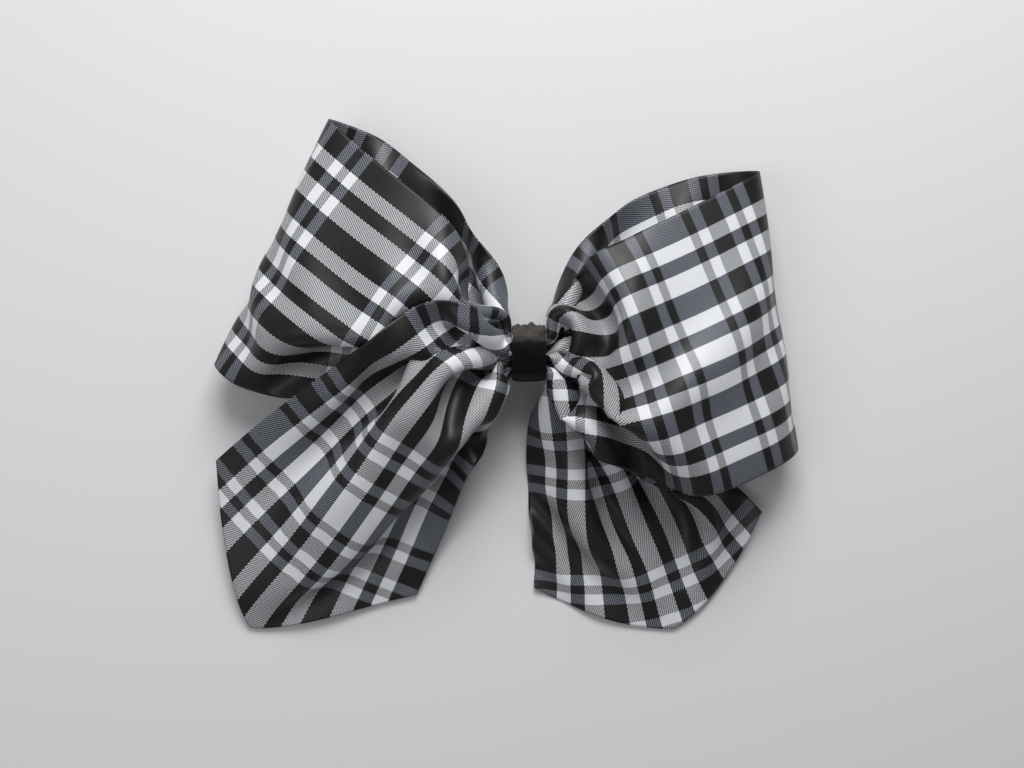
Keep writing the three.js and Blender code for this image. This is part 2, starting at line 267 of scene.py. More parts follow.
@dataclass(frozen=True)
class PlaidFinish:
    """Yarn-dyed taffeta in black and white.

    The edges are where the threads change colour, measured from the middle of the ribbon and
    from the middle of the repeat along it. Both start white.

    Attributes:
        pitch: Distance between threads.
        repeat: Length of the pattern along the ribbon.
        across: Where the warp changes colour.
        along: Where the weft changes colour.
        white_with_sheen: White warp on white weft, painted lighter with painted sheen.
        white: White warp where it crosses black weft.
        shaded: White weft where it crosses black warp, painted darker with painted shade, as it lies lower
            and catches less light.
        black: Black on black.
        worn: What the cloudy wear adds to every thread.
        wear: How much of it.
        smooth: Roughness where the cloth is glossiest.
        dull: Roughness where it is dullest.
    """

    TWILL: ClassVar[int] = 5
    UNDER: ClassVar[float] = 0.3
    pitch: float = 0.25
    repeat: float = RIBBON_WIDTH
    across: tuple[float, ...] = (2.85, 6.75, 10.95, 17.45, 22.75, 26.75, 30.65)
    along: tuple[float, ...] = (5.75, 8.25, 11.25, 16.75, 19.75, 22.25, 25.25)
    white_with_sheen: tuple[float, ...] = (0.84, 0.85, 0.88, 1)
    white: tuple[float, ...] = (0.60, 0.61, 0.63, 1)
    shaded: tuple[float, ...] = (0.28, 0.30, 0.355, 1)
    black: tuple[float, ...] = (0.0065, 0.0058, 0.0056, 1)
    worn: tuple[float, ...] = (0.06, 0.06, 0.07, 1)
    wear: float = 0.10
    smooth: float = 0.34
    dull: float = 0.50

    def material(self) -> bpy.types.Material:
        """Builds the weave: a five-thread twill, three over and two under, coloured by its stripes.

        The warp is on top where the fraction of (twice its number + the weft's number) / 5 is
        past the share that lies under. A point is white where the thread on top is white.

        Returns:
            The finished material, which reads the map named flat.
        """
        graph = Graph("plaid ribbon")
        flat = graph.node("UVMap", {"uv_map": "flat"})
        split = graph.node("SeparateXYZ", inputs={0: flat.outputs[0]})
        side, length = (Number(graph, split.outputs[axis]) for axis in range(2))
        warp = (side / self.pitch).floor()
        weft = (length / self.pitch).floor()
        over = ((warp * 2 + weft) / self.TWILL).math("FRACT").over(self.UNDER)
        warp_white = self.stripes(((warp + 0.5) * self.pitch).abs(), self.across)
        weft_white = self.stripes(((weft + 0.5) * self.pitch).wrapped(self.repeat).abs(), self.along)
        # Painted shade and sheen: white weft under black warp is painted darker, and white crossing white
        # is painted lighter.
        mixed = blend(graph, over, self.shaded, self.white)
        pale = blend(graph, warp_white * weft_white, mixed, self.white_with_sheen)
        white = over * warp_white + (1.0 - over) * weft_white
        cloud = graph.node("TexNoise", inputs={"Vector": flat.outputs[0], "Scale": 0.35, "Detail": 4.0})
        tone = Number(graph, cloud.outputs[0])
        colour = blend(graph, tone * self.wear, blend(graph, white, self.black, pale), self.worn)
        rib = ((side * 2 + length) / (self.TWILL * self.pitch)).math("FRACT")
        height = rib.math("PINGPONG", 0.5) + tone * 0.6
        bump = graph.node("Bump", inputs={"Strength": 0.25, "Distance": 0.00005, "Height": height})
        surface = graph.node("BsdfPrincipled", inputs={
            "Base Color": colour, "Roughness": tone.between(self.smooth, self.dull),
            "Normal": bump.outputs[0], "Specular IOR Level": 0.4,
        })
        return graph.finish(surface.outputs[0])

    @staticmethod
    def stripes(place: Number, edges: tuple[float, ...]) -> Number:
        """Colours threads by their stripes: the colour swaps at every edge.

        Args:
            place: Distance of each thread from the middle of the pattern.
            edges: Where the colour swaps.

        Returns:
            One on white threads and nothing on black ones.
        """
        white = 1.0 - place.over(edges[0])
        for count, edge in enumerate(edges[1:]):
            step = place.over(edge)
            white = white + step if count % 2 == 0 else white - step
        return white


@dataclass(frozen=True)
class VelvetFinish:
    """Deep black velvet, with painted sheen where it is seen at a glancing angle and on its sloping upper
    side.

    Attributes:
        colour: The pile seen from above.
        painted_sheen: Painted sheen, the paler colour of the pile where light glances off it.
        top_sheen_from: Where along y, in metres, the painted sheen on the upper side starts.
        top_sheen_over: Over what length, in metres, it comes on.
        glance: How much painted sheen shows at a glancing angle to the view.
        top_sheen: How much painted sheen shows on the upper side.
    """

    colour: tuple[float, ...] = (0.0035, 0.0034, 0.0036, 1)
    painted_sheen: tuple[float, ...] = (0.42, 0.38, 0.36, 1)
    top_sheen_from: float = 0.0080
    top_sheen_over: float = 0.0022
    glance: float = 0.13
    top_sheen: float = 0.22

    def material(self) -> bpy.types.Material:
        """Builds the pile: fine noise, a soft bump and sheen.

        Returns:
            The finished material.
        """
        graph = Graph("velvet ribbon")
        place = graph.node("TexCoord").outputs["Object"]
        pile = graph.node("TexNoise", inputs={"Vector": place, "Scale": 2600.0, "Detail": 3.0})
        tufts = graph.node("TexNoise", inputs={"Vector": place, "Scale": 260.0, "Detail": 2.0})
        tone = Number(graph, pile.outputs[0]) * 0.7 + Number(graph, tufts.outputs[0]) * 0.6
        # Painted sheen: the pile is painted paler where it is seen at a glancing angle and on the sloping
        # upper side of the band.
        edge = Number(graph, graph.node("LayerWeight", inputs={"Blend": 0.35}).outputs[1])
        y = Number(graph, graph.node("SeparateXYZ", inputs={0: place}).outputs[1])
        slack = (y - self.top_sheen_from) / self.top_sheen_over
        slack = slack.math("MINIMUM", 1.0).math("MAXIMUM", 0.0)
        colour = blend(graph, tone * (edge * self.glance + slack * self.top_sheen), self.colour, self.painted_sheen)
        bump = graph.node("Bump", inputs={"Strength": 0.6, "Distance": 0.00012, "Height": tone})
        surface = graph.node("BsdfPrincipled", inputs={
            "Base Color": colour, "Roughness": 0.95, "Normal": bump.outputs[0], "Sheen Weight": 0.06,
            "Sheen Roughness": 0.3, "Sheen Tint": (0.8, 0.72, 0.68, 1), "Specular IOR Level": 0.1,
        })
        return graph.finish(surface.outputs[0])


@dataclass(frozen=True)
class ThreadFinish:
    """Black sewing thread.

    Attributes:
        colour: The thread.
        fibre: Its loose fibres.
        fuzz: How much the fibres show.
    """

    colour: tuple[float, ...] = (0.012, 0.012, 0.013, 1)
    fibre: tuple[float, ...] = (0.09, 0.09, 0.1, 1)
    fuzz: float = 0.3

    def material(self) -> bpy.types.Material:
        """Builds the thread: fibres as fine noise.

        Returns:
            The finished material.
        """
        graph = Graph("binding thread")
        place = graph.node("TexCoord").outputs["Object"]
        fibre = graph.node("TexNoise", inputs={"Vector": place, "Scale": 5000.0, "Detail": 2.0})
        tone = Number(graph, fibre.outputs[0])
        colour = blend(graph, tone * self.fuzz, self.colour, self.fibre)
        surface = graph.node("BsdfPrincipled", inputs={
            "Base Color": colour, "Roughness": tone.between(0.5, 0.8),
        })
        return graph.finish(surface.outputs[0])


@dataclass(frozen=True)
class GlueFinish:
    """Hot-melt glue, cloudy and a little yellow.

    Attributes:
        colour: The clear glue.
        milk: The clouds in it.
    """

    colour: tuple[float, ...] = (0.72, 0.68, 0.55, 1)
    milk: tuple[float, ...] = (0.85, 0.83, 0.76, 1)

    def material(self) -> bpy.types.Material:
        """Builds the glue: milky, smooth, with slow waves.

        Returns:
            The finished material.
        """
        graph = Graph("hot melt glue")
        place = graph.node("TexCoord").outputs["Object"]
        wave = graph.node("TexNoise", inputs={"Vector": place, "Scale": 320.0, "Detail": 2.0})
        tone = Number(graph, wave.outputs[0])
        bump = graph.node("Bump", inputs={"Strength": 0.4, "Distance": 0.0002, "Height": tone})
        surface = graph.node("BsdfPrincipled", inputs={
            "Base Color": blend(graph, tone, self.colour, self.milk), "Roughness": tone.between(0.15, 0.35),
            "Normal": bump.outputs[0], "Subsurface Weight": 0.3,
            "Subsurface Radius": (0.002, 0.002, 0.0015),
        })
        return graph.finish(surface.outputs[0])


@dataclass(frozen=True)
class MetalFinish:
    """Plated or bare steel.

    Attributes:
        name: What the finish is called.
        colour: The metal's colour.
        smooth: Roughness where it is brightest.
        dull: Roughness where it is most handled.
        tarnish: How much of the colour is left where it is darkest.
    """

    name: str
    colour: tuple[float, ...]
    smooth: float
    dull: float
    tarnish: float = 0.72

    def material(self) -> bpy.types.Material:
        """Builds the metal: clouded roughness and fine marks drawn along the clip.

        Returns:
            The finished material.
        """
        graph = Graph(self.name)
        place = graph.node("TexCoord").outputs["Object"]
        cloud = graph.node("TexNoise", inputs={"Vector": place, "Scale": 180.0, "Detail": 5.0})
        grain = graph.node("Mapping", inputs={"Vector": place, "Scale": (60.0, 2500.0, 2500.0)})
        drawn = graph.node("TexNoise", inputs={"Vector": grain.outputs[0], "Scale": 1.0, "Detail": 3.0})
        tone = Number(graph, cloud.outputs[0])
        line = Number(graph, drawn.outputs[0])
        dark = tuple(self.tarnish * part for part in self.colour[:3]) + (1.0,)
        bump = graph.node("Bump", inputs={"Strength": 0.15, "Distance": 0.00002, "Height": line})
        surface = graph.node("BsdfPrincipled", inputs={
            "Base Color": blend(graph, tone * 0.5, self.colour, dark),
            "Roughness": (tone * 0.6 + line * 0.4).between(self.smooth, self.dull),
            "Metallic": 1.0, "Normal": bump.outputs[0],
        })
        return graph.finish(surface.outputs[0])


# ---- Making pieces --------------------------------------------------------------------------


def grid_faces(rows: int, columns: int, closed: bool = False) -> np.ndarray:
    """Quads over a grid of points numbered row by row.

    Args:
        rows: How many rows of points.
        columns: How many points in a row.
        closed: Whether each row joins up into a ring.

    Returns:
        An array of four point numbers a face.
    """
    across = columns if closed else columns - 1
    row, column = np.meshgrid(np.arange(rows - 1), np.arange(across), indexing="ij")
    after = (column + 1) % columns
    first, second = row * columns, (row + 1) * columns
    corners = (first + column, first + after, second + after, second + column)
    return np.stack(corners, -1).reshape(-1, 4)


def make_piece(
    name: str, points: np.ndarray, faces: list | np.ndarray, material: bpy.types.Material
) -> bpy.types.Object:
    """Makes an object from points in millimetres round the knot.

    Args:
        name: The object's name.
        points: An array of x, y, z.
        faces: Lists of point numbers.
        material: The finish.

    Returns:
        The linked object, smooth shaded.
    """
    places = (np.reshape(points, (-1, 3)) + KNOT) * MM
    mesh = bpy.data.meshes.new(name)
    mesh.from_pydata(places.tolist(), [], [list(map(int, face)) for face in faces])
    mesh.polygons.foreach_set("use_smooth", np.ones(len(mesh.polygons), dtype=bool))
    mesh.materials.append(material)
    piece = bpy.data.objects.new(name, mesh)
    bpy.context.scene.collection.objects.link(piece)
    return piece


def make_cloth(
    name: str, points: np.ndarray, flat: np.ndarray, faces: np.ndarray, material: bpy.types.Material
) -> bpy.types.Object:
    """Makes a piece of plaid ribbon, with its flat map and its thickness.

    Args:
        name: The object's name.
        points: The middle of the cloth.
        flat: Each point's place on the flat ribbon, in millimetres.
        faces: Lists of point numbers.
        material: The finish.

    Returns:
        The piece.
    """
    piece = make_piece(name, points, faces, material)
    mesh = piece.data
    corner = np.empty(len(mesh.loops), dtype=np.int32)
    mesh.loops.foreach_get("vertex_index", corner)
    layer = mesh.uv_layers.new(name="flat")
    layer.data.foreach_set("uv", np.reshape(flat, (-1, 2))[corner].astype(np.float32).ravel())
    solid = piece.modifiers.new("thickness", "SOLIDIFY")
    solid.thickness = RIBBON_THICKNESS * MM
    solid.offset = 0.0
    return piece


def settle_in(piece: bpy.types.Object, node: str) -> None:
    """Rides a piece on the bow and puts it in place of a node of the frame.

    Args:
        piece: The piece.
        node: The node that it stands for.
    """
    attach(piece, Body.BOW.value)
    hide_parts(node)


def tube(path: np.ndarray, side: np.ndarray, thick: np.ndarray) -> tuple[np.ndarray, list]:
    """Lays a tube round a path: a ring across the path at each point, and a point to close each end.

    Args:
        path: Points along the middle.
        side: A direction that the path never takes, from which the rings are counted.
        thick: The radius at each point of each ring.

    Returns:
        The points and the faces.
    """
    ahead = np.gradient(path, axis=0)
    ahead /= np.linalg.norm(ahead, axis=1, keepdims=True)
    beside = side - (ahead @ side)[:, None] * ahead
    beside /= np.linalg.norm(beside, axis=1, keepdims=True)
    outward = np.cross(ahead, beside)
    rows, sides = thick.shape
    ring = np.linspace(0, 2 * np.pi, sides, endpoint=False)[:, None]
    spoke = np.cos(ring) * beside[:, None] + np.sin(ring) * outward[:, None]
    points = path[:, None] + thick[..., None] * spoke
    faces = grid_faces(rows, sides, closed=True).tolist()
    first, last = rows * sides, rows * sides + 1
    around = np.arange(sides)
    after = (around + 1) % sides
    foot = (rows - 1) * sides
    faces += np.stack([np.full_like(around, first), after, around], -1).tolist()
    faces += np.stack([np.full_like(around, last), foot + around, foot + after], -1).tolist()
    return np.concatenate([points.reshape(-1, 3), path[:1], path[-1:]]), faces


# ---- Cloth ----------------------------------------------------------------------------------


def spline(points: np.ndarray, share: np.ndarray) -> np.ndarray:
    """A Catmull-Rom curve through points, spaced by the chords between them.

    Args:
        points: An array of x, y, z.
        share: Where to sample it, 0 to 1.

    Returns:
        One point for each share.
    """
    chord = np.r_[0.0, np.cumsum(np.linalg.norm(np.diff(points, axis=0), axis=1))]
    chord = chord / chord[-1]
    held = np.vstack([2 * points[0] - points[1], points, 2 * points[-1] - points[-2]])
    k = np.clip(np.searchsorted(chord, share, side="right") - 1, 0, len(chord) - 2)
    t = ((share - chord[k]) / (chord[k + 1] - chord[k]))[..., None]
    a, b, c, d = held[k], held[k + 1], held[k + 2], held[k + 3]
    square = (2 * a - 5 * b + 4 * c - d) * t**2
    cube = (3 * b - a - 3 * c + d) * t**3
    return 0.5 * (2 * b + (c - a) * t + square + cube)


def spline_loop(points: np.ndarray, share: np.ndarray) -> np.ndarray:
    """A closed Catmull-Rom curve, made by carrying the points on past the join at both ends.

    Args:
        points: An array of points whose first and last are the same.
        share: Where to sample it, 0 to 1.

    Returns:
        One point for each share.
    """
    wrapped = np.vstack([points[-3:-1], points, points[1:3]])
    chord = np.r_[0.0, np.cumsum(np.linalg.norm(np.diff(wrapped, axis=0), axis=1))]
    start, end = chord[2], chord[-3]
    return spline(wrapped, (start + share * (end - start)) / chord[-1])


def sighted(points: np.ndarray) -> np.ndarray:
    """Moves points along their lines of sight from the glass to their own heights.

    A point's distance from the eye's x and y is multiplied by (eye - height) / (eye - glass).

    Args:
        points: x and y on the glass, and the true z.

    Returns:
        The true x, y and z.
    """
    share = (EYE[2] - points[..., 2:]) / (EYE[2] - GLASS)
    return np.concatenate([EYE[:2] + (points[..., :2] - EYE[:2]) * share, points[..., 2:]], -1)


@dataclass(frozen=True)
class Rail:
    """One line along the ribbon, starting where it leaves the knot.

    Attributes:
        out: Points to the outer fold, or to the cut.
        back: Points from there back to the knot; none on a tail.
        flat: Place along the plaid at the knot, at the fold or cut, and back at the knot.
    """

    LEAD: ClassVar[float] = 4.1
    FINE: ClassVar[int] = 800

    out: tuple[tuple[float, float, float], ...]
    flat: tuple[float, ...]
    back: tuple[tuple[float, float, float], ...] = ()

    def sample(self, rows: tuple[int, ...]) -> tuple[np.ndarray, np.ndarray]:
        """Spaces points evenly along each part of the rail, led on a little way into the knot.

        Args:
            rows: How many steps each part takes.

        Returns:
            The points, and their places along the plaid.
        """
        points = np.array(self.out + self.back, float)
        lead = np.array([np.sign(points[0, 0]) * self.LEAD, 0.0, 0.0])
        points = np.vstack([points[:1] - lead, points] + ([points[-1:] - lead] if self.back else []))
        points = sighted(points)
        chord = np.r_[0.0, np.cumsum(np.linalg.norm(np.diff(points, axis=0), axis=1))]
        ends = [0.0, chord[len(self.out)] / chord[-1]] + ([1.0] if self.back else [])
        flat = np.array(self.flat, float)
        flat[0] -= self.LEAD
        flat[2:] += self.LEAD
        fine = np.linspace(0.0, 1.0, self.FINE)
        curve = spline(points, fine)
        length = np.r_[0.0, np.cumsum(np.linalg.norm(np.diff(curve, axis=0), axis=1))]
        marks = np.interp(ends, fine, length)
        at, along = (
            np.concatenate([
                np.linspace(*stops[part:part + 2], count + 1)[min(part, 1):]
                for part, count in enumerate(rows)
            ])
            for stops in (marks, flat)
        )
        place = np.stack([np.interp(at, length, curve[:, axis]) for axis in range(3)], -1)
        return place, along


@dataclass(frozen=True)
class Root:
    """How the ribbon is folded like a fan where a layer enters the knot.

    Attributes:
        side: One on the right of the knot and minus one on the left.
        first: y of the selvage that the first rail follows.
        last: y of the other selvage.
        floor: z at the bottom of the folds.
        top: z at the top of the folds.
        flip: One when the first selvage is at the bottom of a fold, minus one at the top.
    """

    side: int
    first: float
    last: float
    floor: float
    top: float
    flip: int = 1

    def fan(self, across: np.ndarray) -> np.ndarray:
        """Folds the ribbon, squeezed into the oval that the thread draws round it.

        The folds zigzag between the floor and the top and step evenly from the first selvage to
        the last. Whatever lies outside the oval is drawn in to its edge.

        Args:
            across: Places over the ribbon's width, 0 to 1.

        Returns:
            y and z of each place.
        """
        y = self.first + (self.last - self.first) * across
        z = (self.floor + self.top) / 2 + self.flip * (self.top - self.floor) * folds(across)
        away = np.stack([y, z], -1) - BUNDLE
        out = (np.abs(away / BUNDLE_REACH) ** BUNDLE_SQUARE).sum(-1) ** (1 / BUNDLE_SQUARE)
        return BUNDLE + away / np.maximum(out, 1.0)[:, None]


def folds(across: np.ndarray) -> np.ndarray:
    """A zigzag with rounded corners over the ribbon's width.

    It is the arc sine of nine tenths of a sine, which is a straight zigzag but for its corners.

    Args:
        across: Places over the width, 0 to 1.

    Returns:
        Heights from minus a half to a half.
    """
    crispness = 0.9
    wave = np.sin(np.pi * (across * Cloth.FOLDS - 0.5))
    return np.arcsin(crispness * wave) / np.arcsin(crispness) / 2


class Cloth:
    """A grid of ribbon that keeps its flat lengths while it is drawn towards a shape."""

    FOLDS = 6
    PINNED = 2
    BIAS = 0.3
    OVERSHOOT = 1.4

    def __init__(
        self, flat: np.ndarray, place: np.ndarray, goal: np.ndarray, free: np.ndarray, pull: np.ndarray
    ) -> None:
        """Starts from a first shape.

        Args:
            flat: Places on the flat ribbon, rows by columns by two.
            place: The first shape, rows by columns by three.
            goal: The shape that it is drawn to.
            free: One where the ribbon may move and nothing where it is held.
            pull: How strongly each point is drawn to its goal, a round, by axis.
        """
        self.flat = flat
        self.place = place.copy()
        self.goal = goal.copy()
        self.free = free
        self.pull = pull

    def pairs(self) -> list[tuple]:
        """Puts neighbours in sets in which no point is used twice.

        Returns:
            For each set its strength, the slices of its two ends, and its rest lengths.
        """
        rows, columns = self.free.shape
        found = []
        for start in (0, 1):
            n = (rows - start) // 2 * 2
            m = (columns - start) // 2 * 2
            down = (slice(start, start + n, 2), slice(start + 1, start + n + 1, 2))
            side = (slice(start, start + m, 2), slice(start + 1, start + m + 1, 2))
            found.append((1.0, (down[0], slice(None)), (down[1], slice(None))))
            found.append((1.0, (slice(None), side[0]), (slice(None), side[1])))
            found.append((self.BIAS, (down[0], slice(0, -1)), (down[1], slice(1, None))))
            found.append((self.BIAS, (down[0], slice(1, None)), (down[1], slice(0, -1))))
        return [(k, a, b, np.linalg.norm(self.flat[b] - self.flat[a], axis=-1)) for k, a, b in found]

    def bend(self, stiffness: float, axis: int) -> None:
        """Moves each point towards the middle of its neighbours, and them away by half as much.

        Args:
            stiffness: Share of the way to the middle.
            axis: Nothing for neighbours along the ribbon, one for neighbours across it.
        """
        place = np.moveaxis(self.place, axis, 0)
        off = (place[:-2] + place[2:]) / 2 - place[1:-1]
        move = np.zeros_like(place)
        move[1:-1] += off
        move[:-2] -= off / 2
        move[2:] -= off / 2
        self.place += stiffness * self.free[..., None] * np.moveaxis(move, 0, axis)

    def relax(self, rounds: int, stiffness: float, limits: list[Limit], hold: float = 1.0) -> None:
        """Settles the ribbon.

        Each round bends it straighter, draws it to its goal, then moves every pair of neighbours
        along the line between them until they are about their flat distance apart.

        Args:
            rounds: How many rounds.
            stiffness: Resistance to bending.
            limits: What the ribbon must stay clear of.
            hold: A factor on the pull to the goal.
        """
        sets = self.pairs()
        free = self.free
        for _ in range(rounds):
            self.bend(stiffness, 0)
            self.bend(stiffness, 1)
            self.place += hold * self.pull * free[..., None] * (self.goal - self.place)
            for strength, a, b, rest in sets:
                gap = self.place[b] - self.place[a]
                length = np.sqrt((gap**2).sum(-1)) + 1e-9
                share = free[a] + free[b]
                share = np.where(share > 0, share, 1)
                push = self.OVERSHOOT * strength * (length - rest) / (length * share)
                self.place[a] += (free[a] * push)[..., None] * gap
                self.place[b] -= (free[b] * push)[..., None] * gap
            for limit in limits:
                limit(self.place, free)

    def finer(self) -> "Cloth":
        """The same cloth on a grid of half the spacing."""
        free = np.round(halved(self.free[..., None])[..., 0])
        pull = np.clip(halved(self.pull), 0, 1)
        return Cloth(halved(self.flat), halved(self.place), halved(self.goal), free, pull)


def halved(grid: np.ndarray) -> np.ndarray:
    """Adds a point between every two of a grid, on the cubic through its four neighbours.

    Args:
        grid: Rows by columns by any number of values.

    Returns:
        A grid of half the spacing.
    """
    for axis in (0, 1):
        grid = np.moveaxis(grid, axis, 0)
        held = np.concatenate([2 * grid[:1] - grid[1:2], grid, 2 * grid[-1:] - grid[-2:-1]])
        middle = (9 * (held[1:-2] + held[2:-1]) - held[:-3] - held[3:]) / 16
        finer = np.empty((2 * len(grid) - 1,) + grid.shape[1:])
        finer[0::2] = grid
        finer[1::2] = middle
        grid = np.moveaxis(finer, 0, axis)
    return grid


@dataclass(frozen=True)
class LobeSizes:
    """A loop or a tail.

    Attributes:
        name: The piece's name, which is also its frame node.
        rails: The first selvage, the middle line and the other selvage.
        rows: Grid steps out to the fold or cut, and back.
        roots: How the ribbon is folded where each layer enters the knot.
        marks: Where crossings of the plaid lie: for each place along it, the distance from the
            first selvage, x, y and, where the folds are deep, z.
        point: Depth of the point a tail is cut to, nothing for a loop.
        columns: Grid steps across.
        fade: How far from the knot the folds of the fan are laid at first.
        bell: How far on the flat ribbon a mark moves the cloth round it.
        smooth: How much a mark may be missed to keep the cloth even.
        reach: How far on the flat ribbon a mark holds the cloth round it.
        draw: How strongly a mark holds it, a round.
        lift: How much of that holds its height, where a height is given.
        hold: How strongly the selvages, the fold and the cut are held, a round.
        least: How strongly every point is held.
    """

    name: str
    rails: tuple[Rail, Rail, Rail]
    rows: tuple[int, ...]
    roots: tuple[Root, ...]
    marks: tuple[tuple[float, tuple[tuple[float, ...], ...]], ...] = ()
    point: float = 0.0
    columns: int = 24
    fade: float = 34.0
    bell: float = 13.0
    smooth: float = 0.03
    reach: float = 4.0
    draw: float = 0.04
    lift: float = 0.6
    hold: float = 0.05
    least: float = 0.002


class Lobe:
    """One loop or tail, settled as cloth from its rails."""

    ROOT_INNER = 1.4
    ROOT_STEP = 3.2

    def __init__(self, sizes: LobeSizes) -> None:
        """Lays the first shape.

        The sheet is the parabola across through the three rails, moved so that its plaid meets
        the marks, with the fan's folds added along its normal. Their depth is what is left of the
        ribbon's width.

        Args:
            sizes: The lobe's sizes.
        """
        self.sizes = sizes
        across = np.linspace(0.0, 1.0, sizes.columns + 1)
        places, flats = zip(*(rail.sample(sizes.rows) for rail in sizes.rails))
        weights = np.stack([
            (1 - across) * (1 - 2 * across), 4 * across * (1 - across), across * (2 * across - 1),
        ])
        place = np.einsum("ku,krx->rux", weights, np.stack(places))
        along = np.einsum("ku,kr->ru", weights, np.stack(flats))
        flat = np.stack([np.broadcast_to((across - 0.5) * RIBBON_WIDTH, along.shape), along], -1)
        if sizes.point:
            place, flat = self.cut(place, flat, across)
        place, drawn = self.through_marks(place, flat)
        place = self.pleated(place, flat, across)
        free = np.ones(along.shape)
        free[:Cloth.PINNED] = 0
        if len(sizes.roots) > 1:
            free[-Cloth.PINNED:] = 0
        pull = np.zeros(place.shape)
        pull[:, (0, -1)] = sizes.hold
        pull[:, (1, -2)] = sizes.hold / 3
        turn = sizes.rows[0]
        pull[turn - 1:turn + 2] = sizes.hold
        pull[..., 2] *= 0.5
        pull = np.maximum(np.maximum(pull, drawn), sizes.least)
        self.cloth = Cloth(flat, place, place, free, pull)

    def cut(self, place: np.ndarray, flat: np.ndarray, across: np.ndarray) -> tuple[np.ndarray, ...]:
        """Cuts a tail to a point: every line across ends short of the tip by its share of the depth.

        Args:
            place: The sheet.
            flat: Its places on the flat ribbon.
            across: Places over the width, 0 to 1.

        Returns:
            The sheet and its flat places, with as many rows spread over the shorter lines.
        """
        length = flat[-1, :, 1] - flat[0, :, 1]
        end = 1 - self.sizes.point * np.abs(2 * across - 1) / length
        row = np.linspace(0, 1, len(place))[:, None] * end[None, :] * (len(place) - 1)
        low = np.minimum(row.astype(int), len(place) - 2)
        share = (row - low)[..., None]
        column = np.arange(len(across))[None, :]
        return tuple(
            grid[low, column] * (1 - share) + grid[low + 1, column] * share for grid in (place, flat)
        )

    def pleated(self, place: np.ndarray, flat: np.ndarray, across: np.ndarray) -> np.ndarray:
        """Adds the fan's folds near each root and sets the roots themselves.

        A fold's depth is the square root of (the ribbon's width squared minus the sheet's width
        squared), over the number of folds. It fades smoothly with distance from the knot.

        Args:
            place: The sheet.
            flat: Its places on the flat ribbon.
            across: Places over the width, 0 to 1.

        Returns:
            The folded sheet.
        """
        wave = folds(across)
        down = np.gradient(place, axis=0)
        side = np.gradient(place, axis=1)
        normal = np.cross(side, down)
        normal /= np.linalg.norm(normal, axis=-1, keepdims=True) + 1e-9
        normal *= np.where(normal[..., 2:] < 0, -1.0, 1.0)
        loft = np.linalg.norm(np.diff(place, axis=1), axis=-1).sum(1)
        cloth = np.linalg.norm(np.diff(flat, axis=1), axis=-1).sum(1)
        depth = np.sqrt(np.maximum(cloth**2 - loft**2, 0.0)) / Cloth.FOLDS
        steps = np.arange(len(place))
        for end, root in enumerate(self.sizes.roots):
            row = steps if end == 0 else steps[::-1]
            spacing = np.linalg.norm(np.diff(place.mean(1), axis=0), axis=1).mean()
            share = np.clip(1 - row * spacing / self.sizes.fade, 0, 1)
            share = share**2 * (3 - 2 * share)
            place = place + (root.flip * share * depth)[:, None, None] * wave[None, :, None] * normal
            for k in range(Cloth.PINNED):
                index = k if end == 0 else len(place) - 1 - k
                place[index, :, 0] = root.side * (self.ROOT_INNER + self.ROOT_STEP * k)
                place[index, :, 1:] = root.fan(across)
        return place

    def through_marks(self, place: np.ndarray, flat: np.ndarray) -> tuple[np.ndarray, np.ndarray]:
        """Moves the sheet so that the crossings of its plaid lie where they should.

        The move is a sum of bells in the flat ribbon, one on each mark, with heights solved so
        that every mark is met.

        Args:
            place: The sheet.
            flat: Its places on the flat ribbon.

        Returns:
            The moved sheet, and how strongly each point is held there, by axis.
        """
        sizes = self.sizes
        rows = [(u, along, *rest) for along, marks in sizes.marks for u, *rest in marks]
        across, along = np.array([row[:2] for row in rows]).T
        at = np.stack([across - RIBBON_WIDTH / 2, along], -1)
        aim = np.array([(*row[2:4], row[4] if len(row) > 4 else np.nan) for row in rows])
        fine_flat, fine = halved(flat).reshape(-1, 2), halved(place).reshape(-1, 3)
        nearest = np.argmin(((fine_flat[None] - at[:, None]) ** 2).sum(-1), axis=1)
        tall = ~np.isnan(aim[:, 2])
        aim[:, 2] = np.where(tall, aim[:, 2], fine[nearest, 2])
        off = sighted(aim) - fine[nearest]
        bell = np.exp(-((at[:, None] - at[None]) ** 2).sum(-1) / sizes.bell**2)
        height = np.linalg.solve(bell + sizes.smooth * np.eye(len(at)), off)
        away = ((flat[:, :, None] - at) ** 2).sum(-1)
        moved = place + np.exp(-away / sizes.bell**2) @ height
        near = np.exp(-away / sizes.reach**2)
        held = sizes.draw * near.max(-1)
        lifted = sizes.draw * sizes.lift * (near * tall).max(-1)
        return moved, np.stack([held, held, lifted], -1)


def above_table(place: np.ndarray, free: np.ndarray) -> None:
    """Keeps free points just off the table."""
    table = 0.35
    low = (free > 0) & (place[..., 2] < table)
    place[..., 2] = np.where(low, table, place[..., 2])


def above_clip(place: np.ndarray, free: np.ndarray) -> None:
    """Keeps free points above the clip's upper plate and the glue on it.

    Args:
        place: The sheet, changed in place.
        free: Where it may move.
    """
    tip, heel, half_width, top = -28.5, 21.5, 5.0, 10.4
    x, y = place[..., 0], place[..., 1]
    over = (free > 0) & (np.abs(y) < half_width) & (x > tip) & (x < heel) & (place[..., 2] < top)
    place[..., 2] = np.where(over, top, place[..., 2])


def beside_wrap(side: int) -> Limit:
    """Makes a limit that keeps a sheet out of the wrap, on its own side of the knot.

    Args:
        side: One on the right of the knot and minus one on the left.

    Returns:
        The limit.
    """
    edge, middle, half_height = 4.9, 2.6, 9.0

    def limit(place: np.ndarray, free: np.ndarray) -> None:
        """Moves the points outwards."""
        out = side * place[..., 0]
        inside = (free > 0) & (out < edge) & (np.abs(place[..., 1] - middle) < half_height)
        place[..., 0] = side * np.where(inside, edge, out)

    return limit


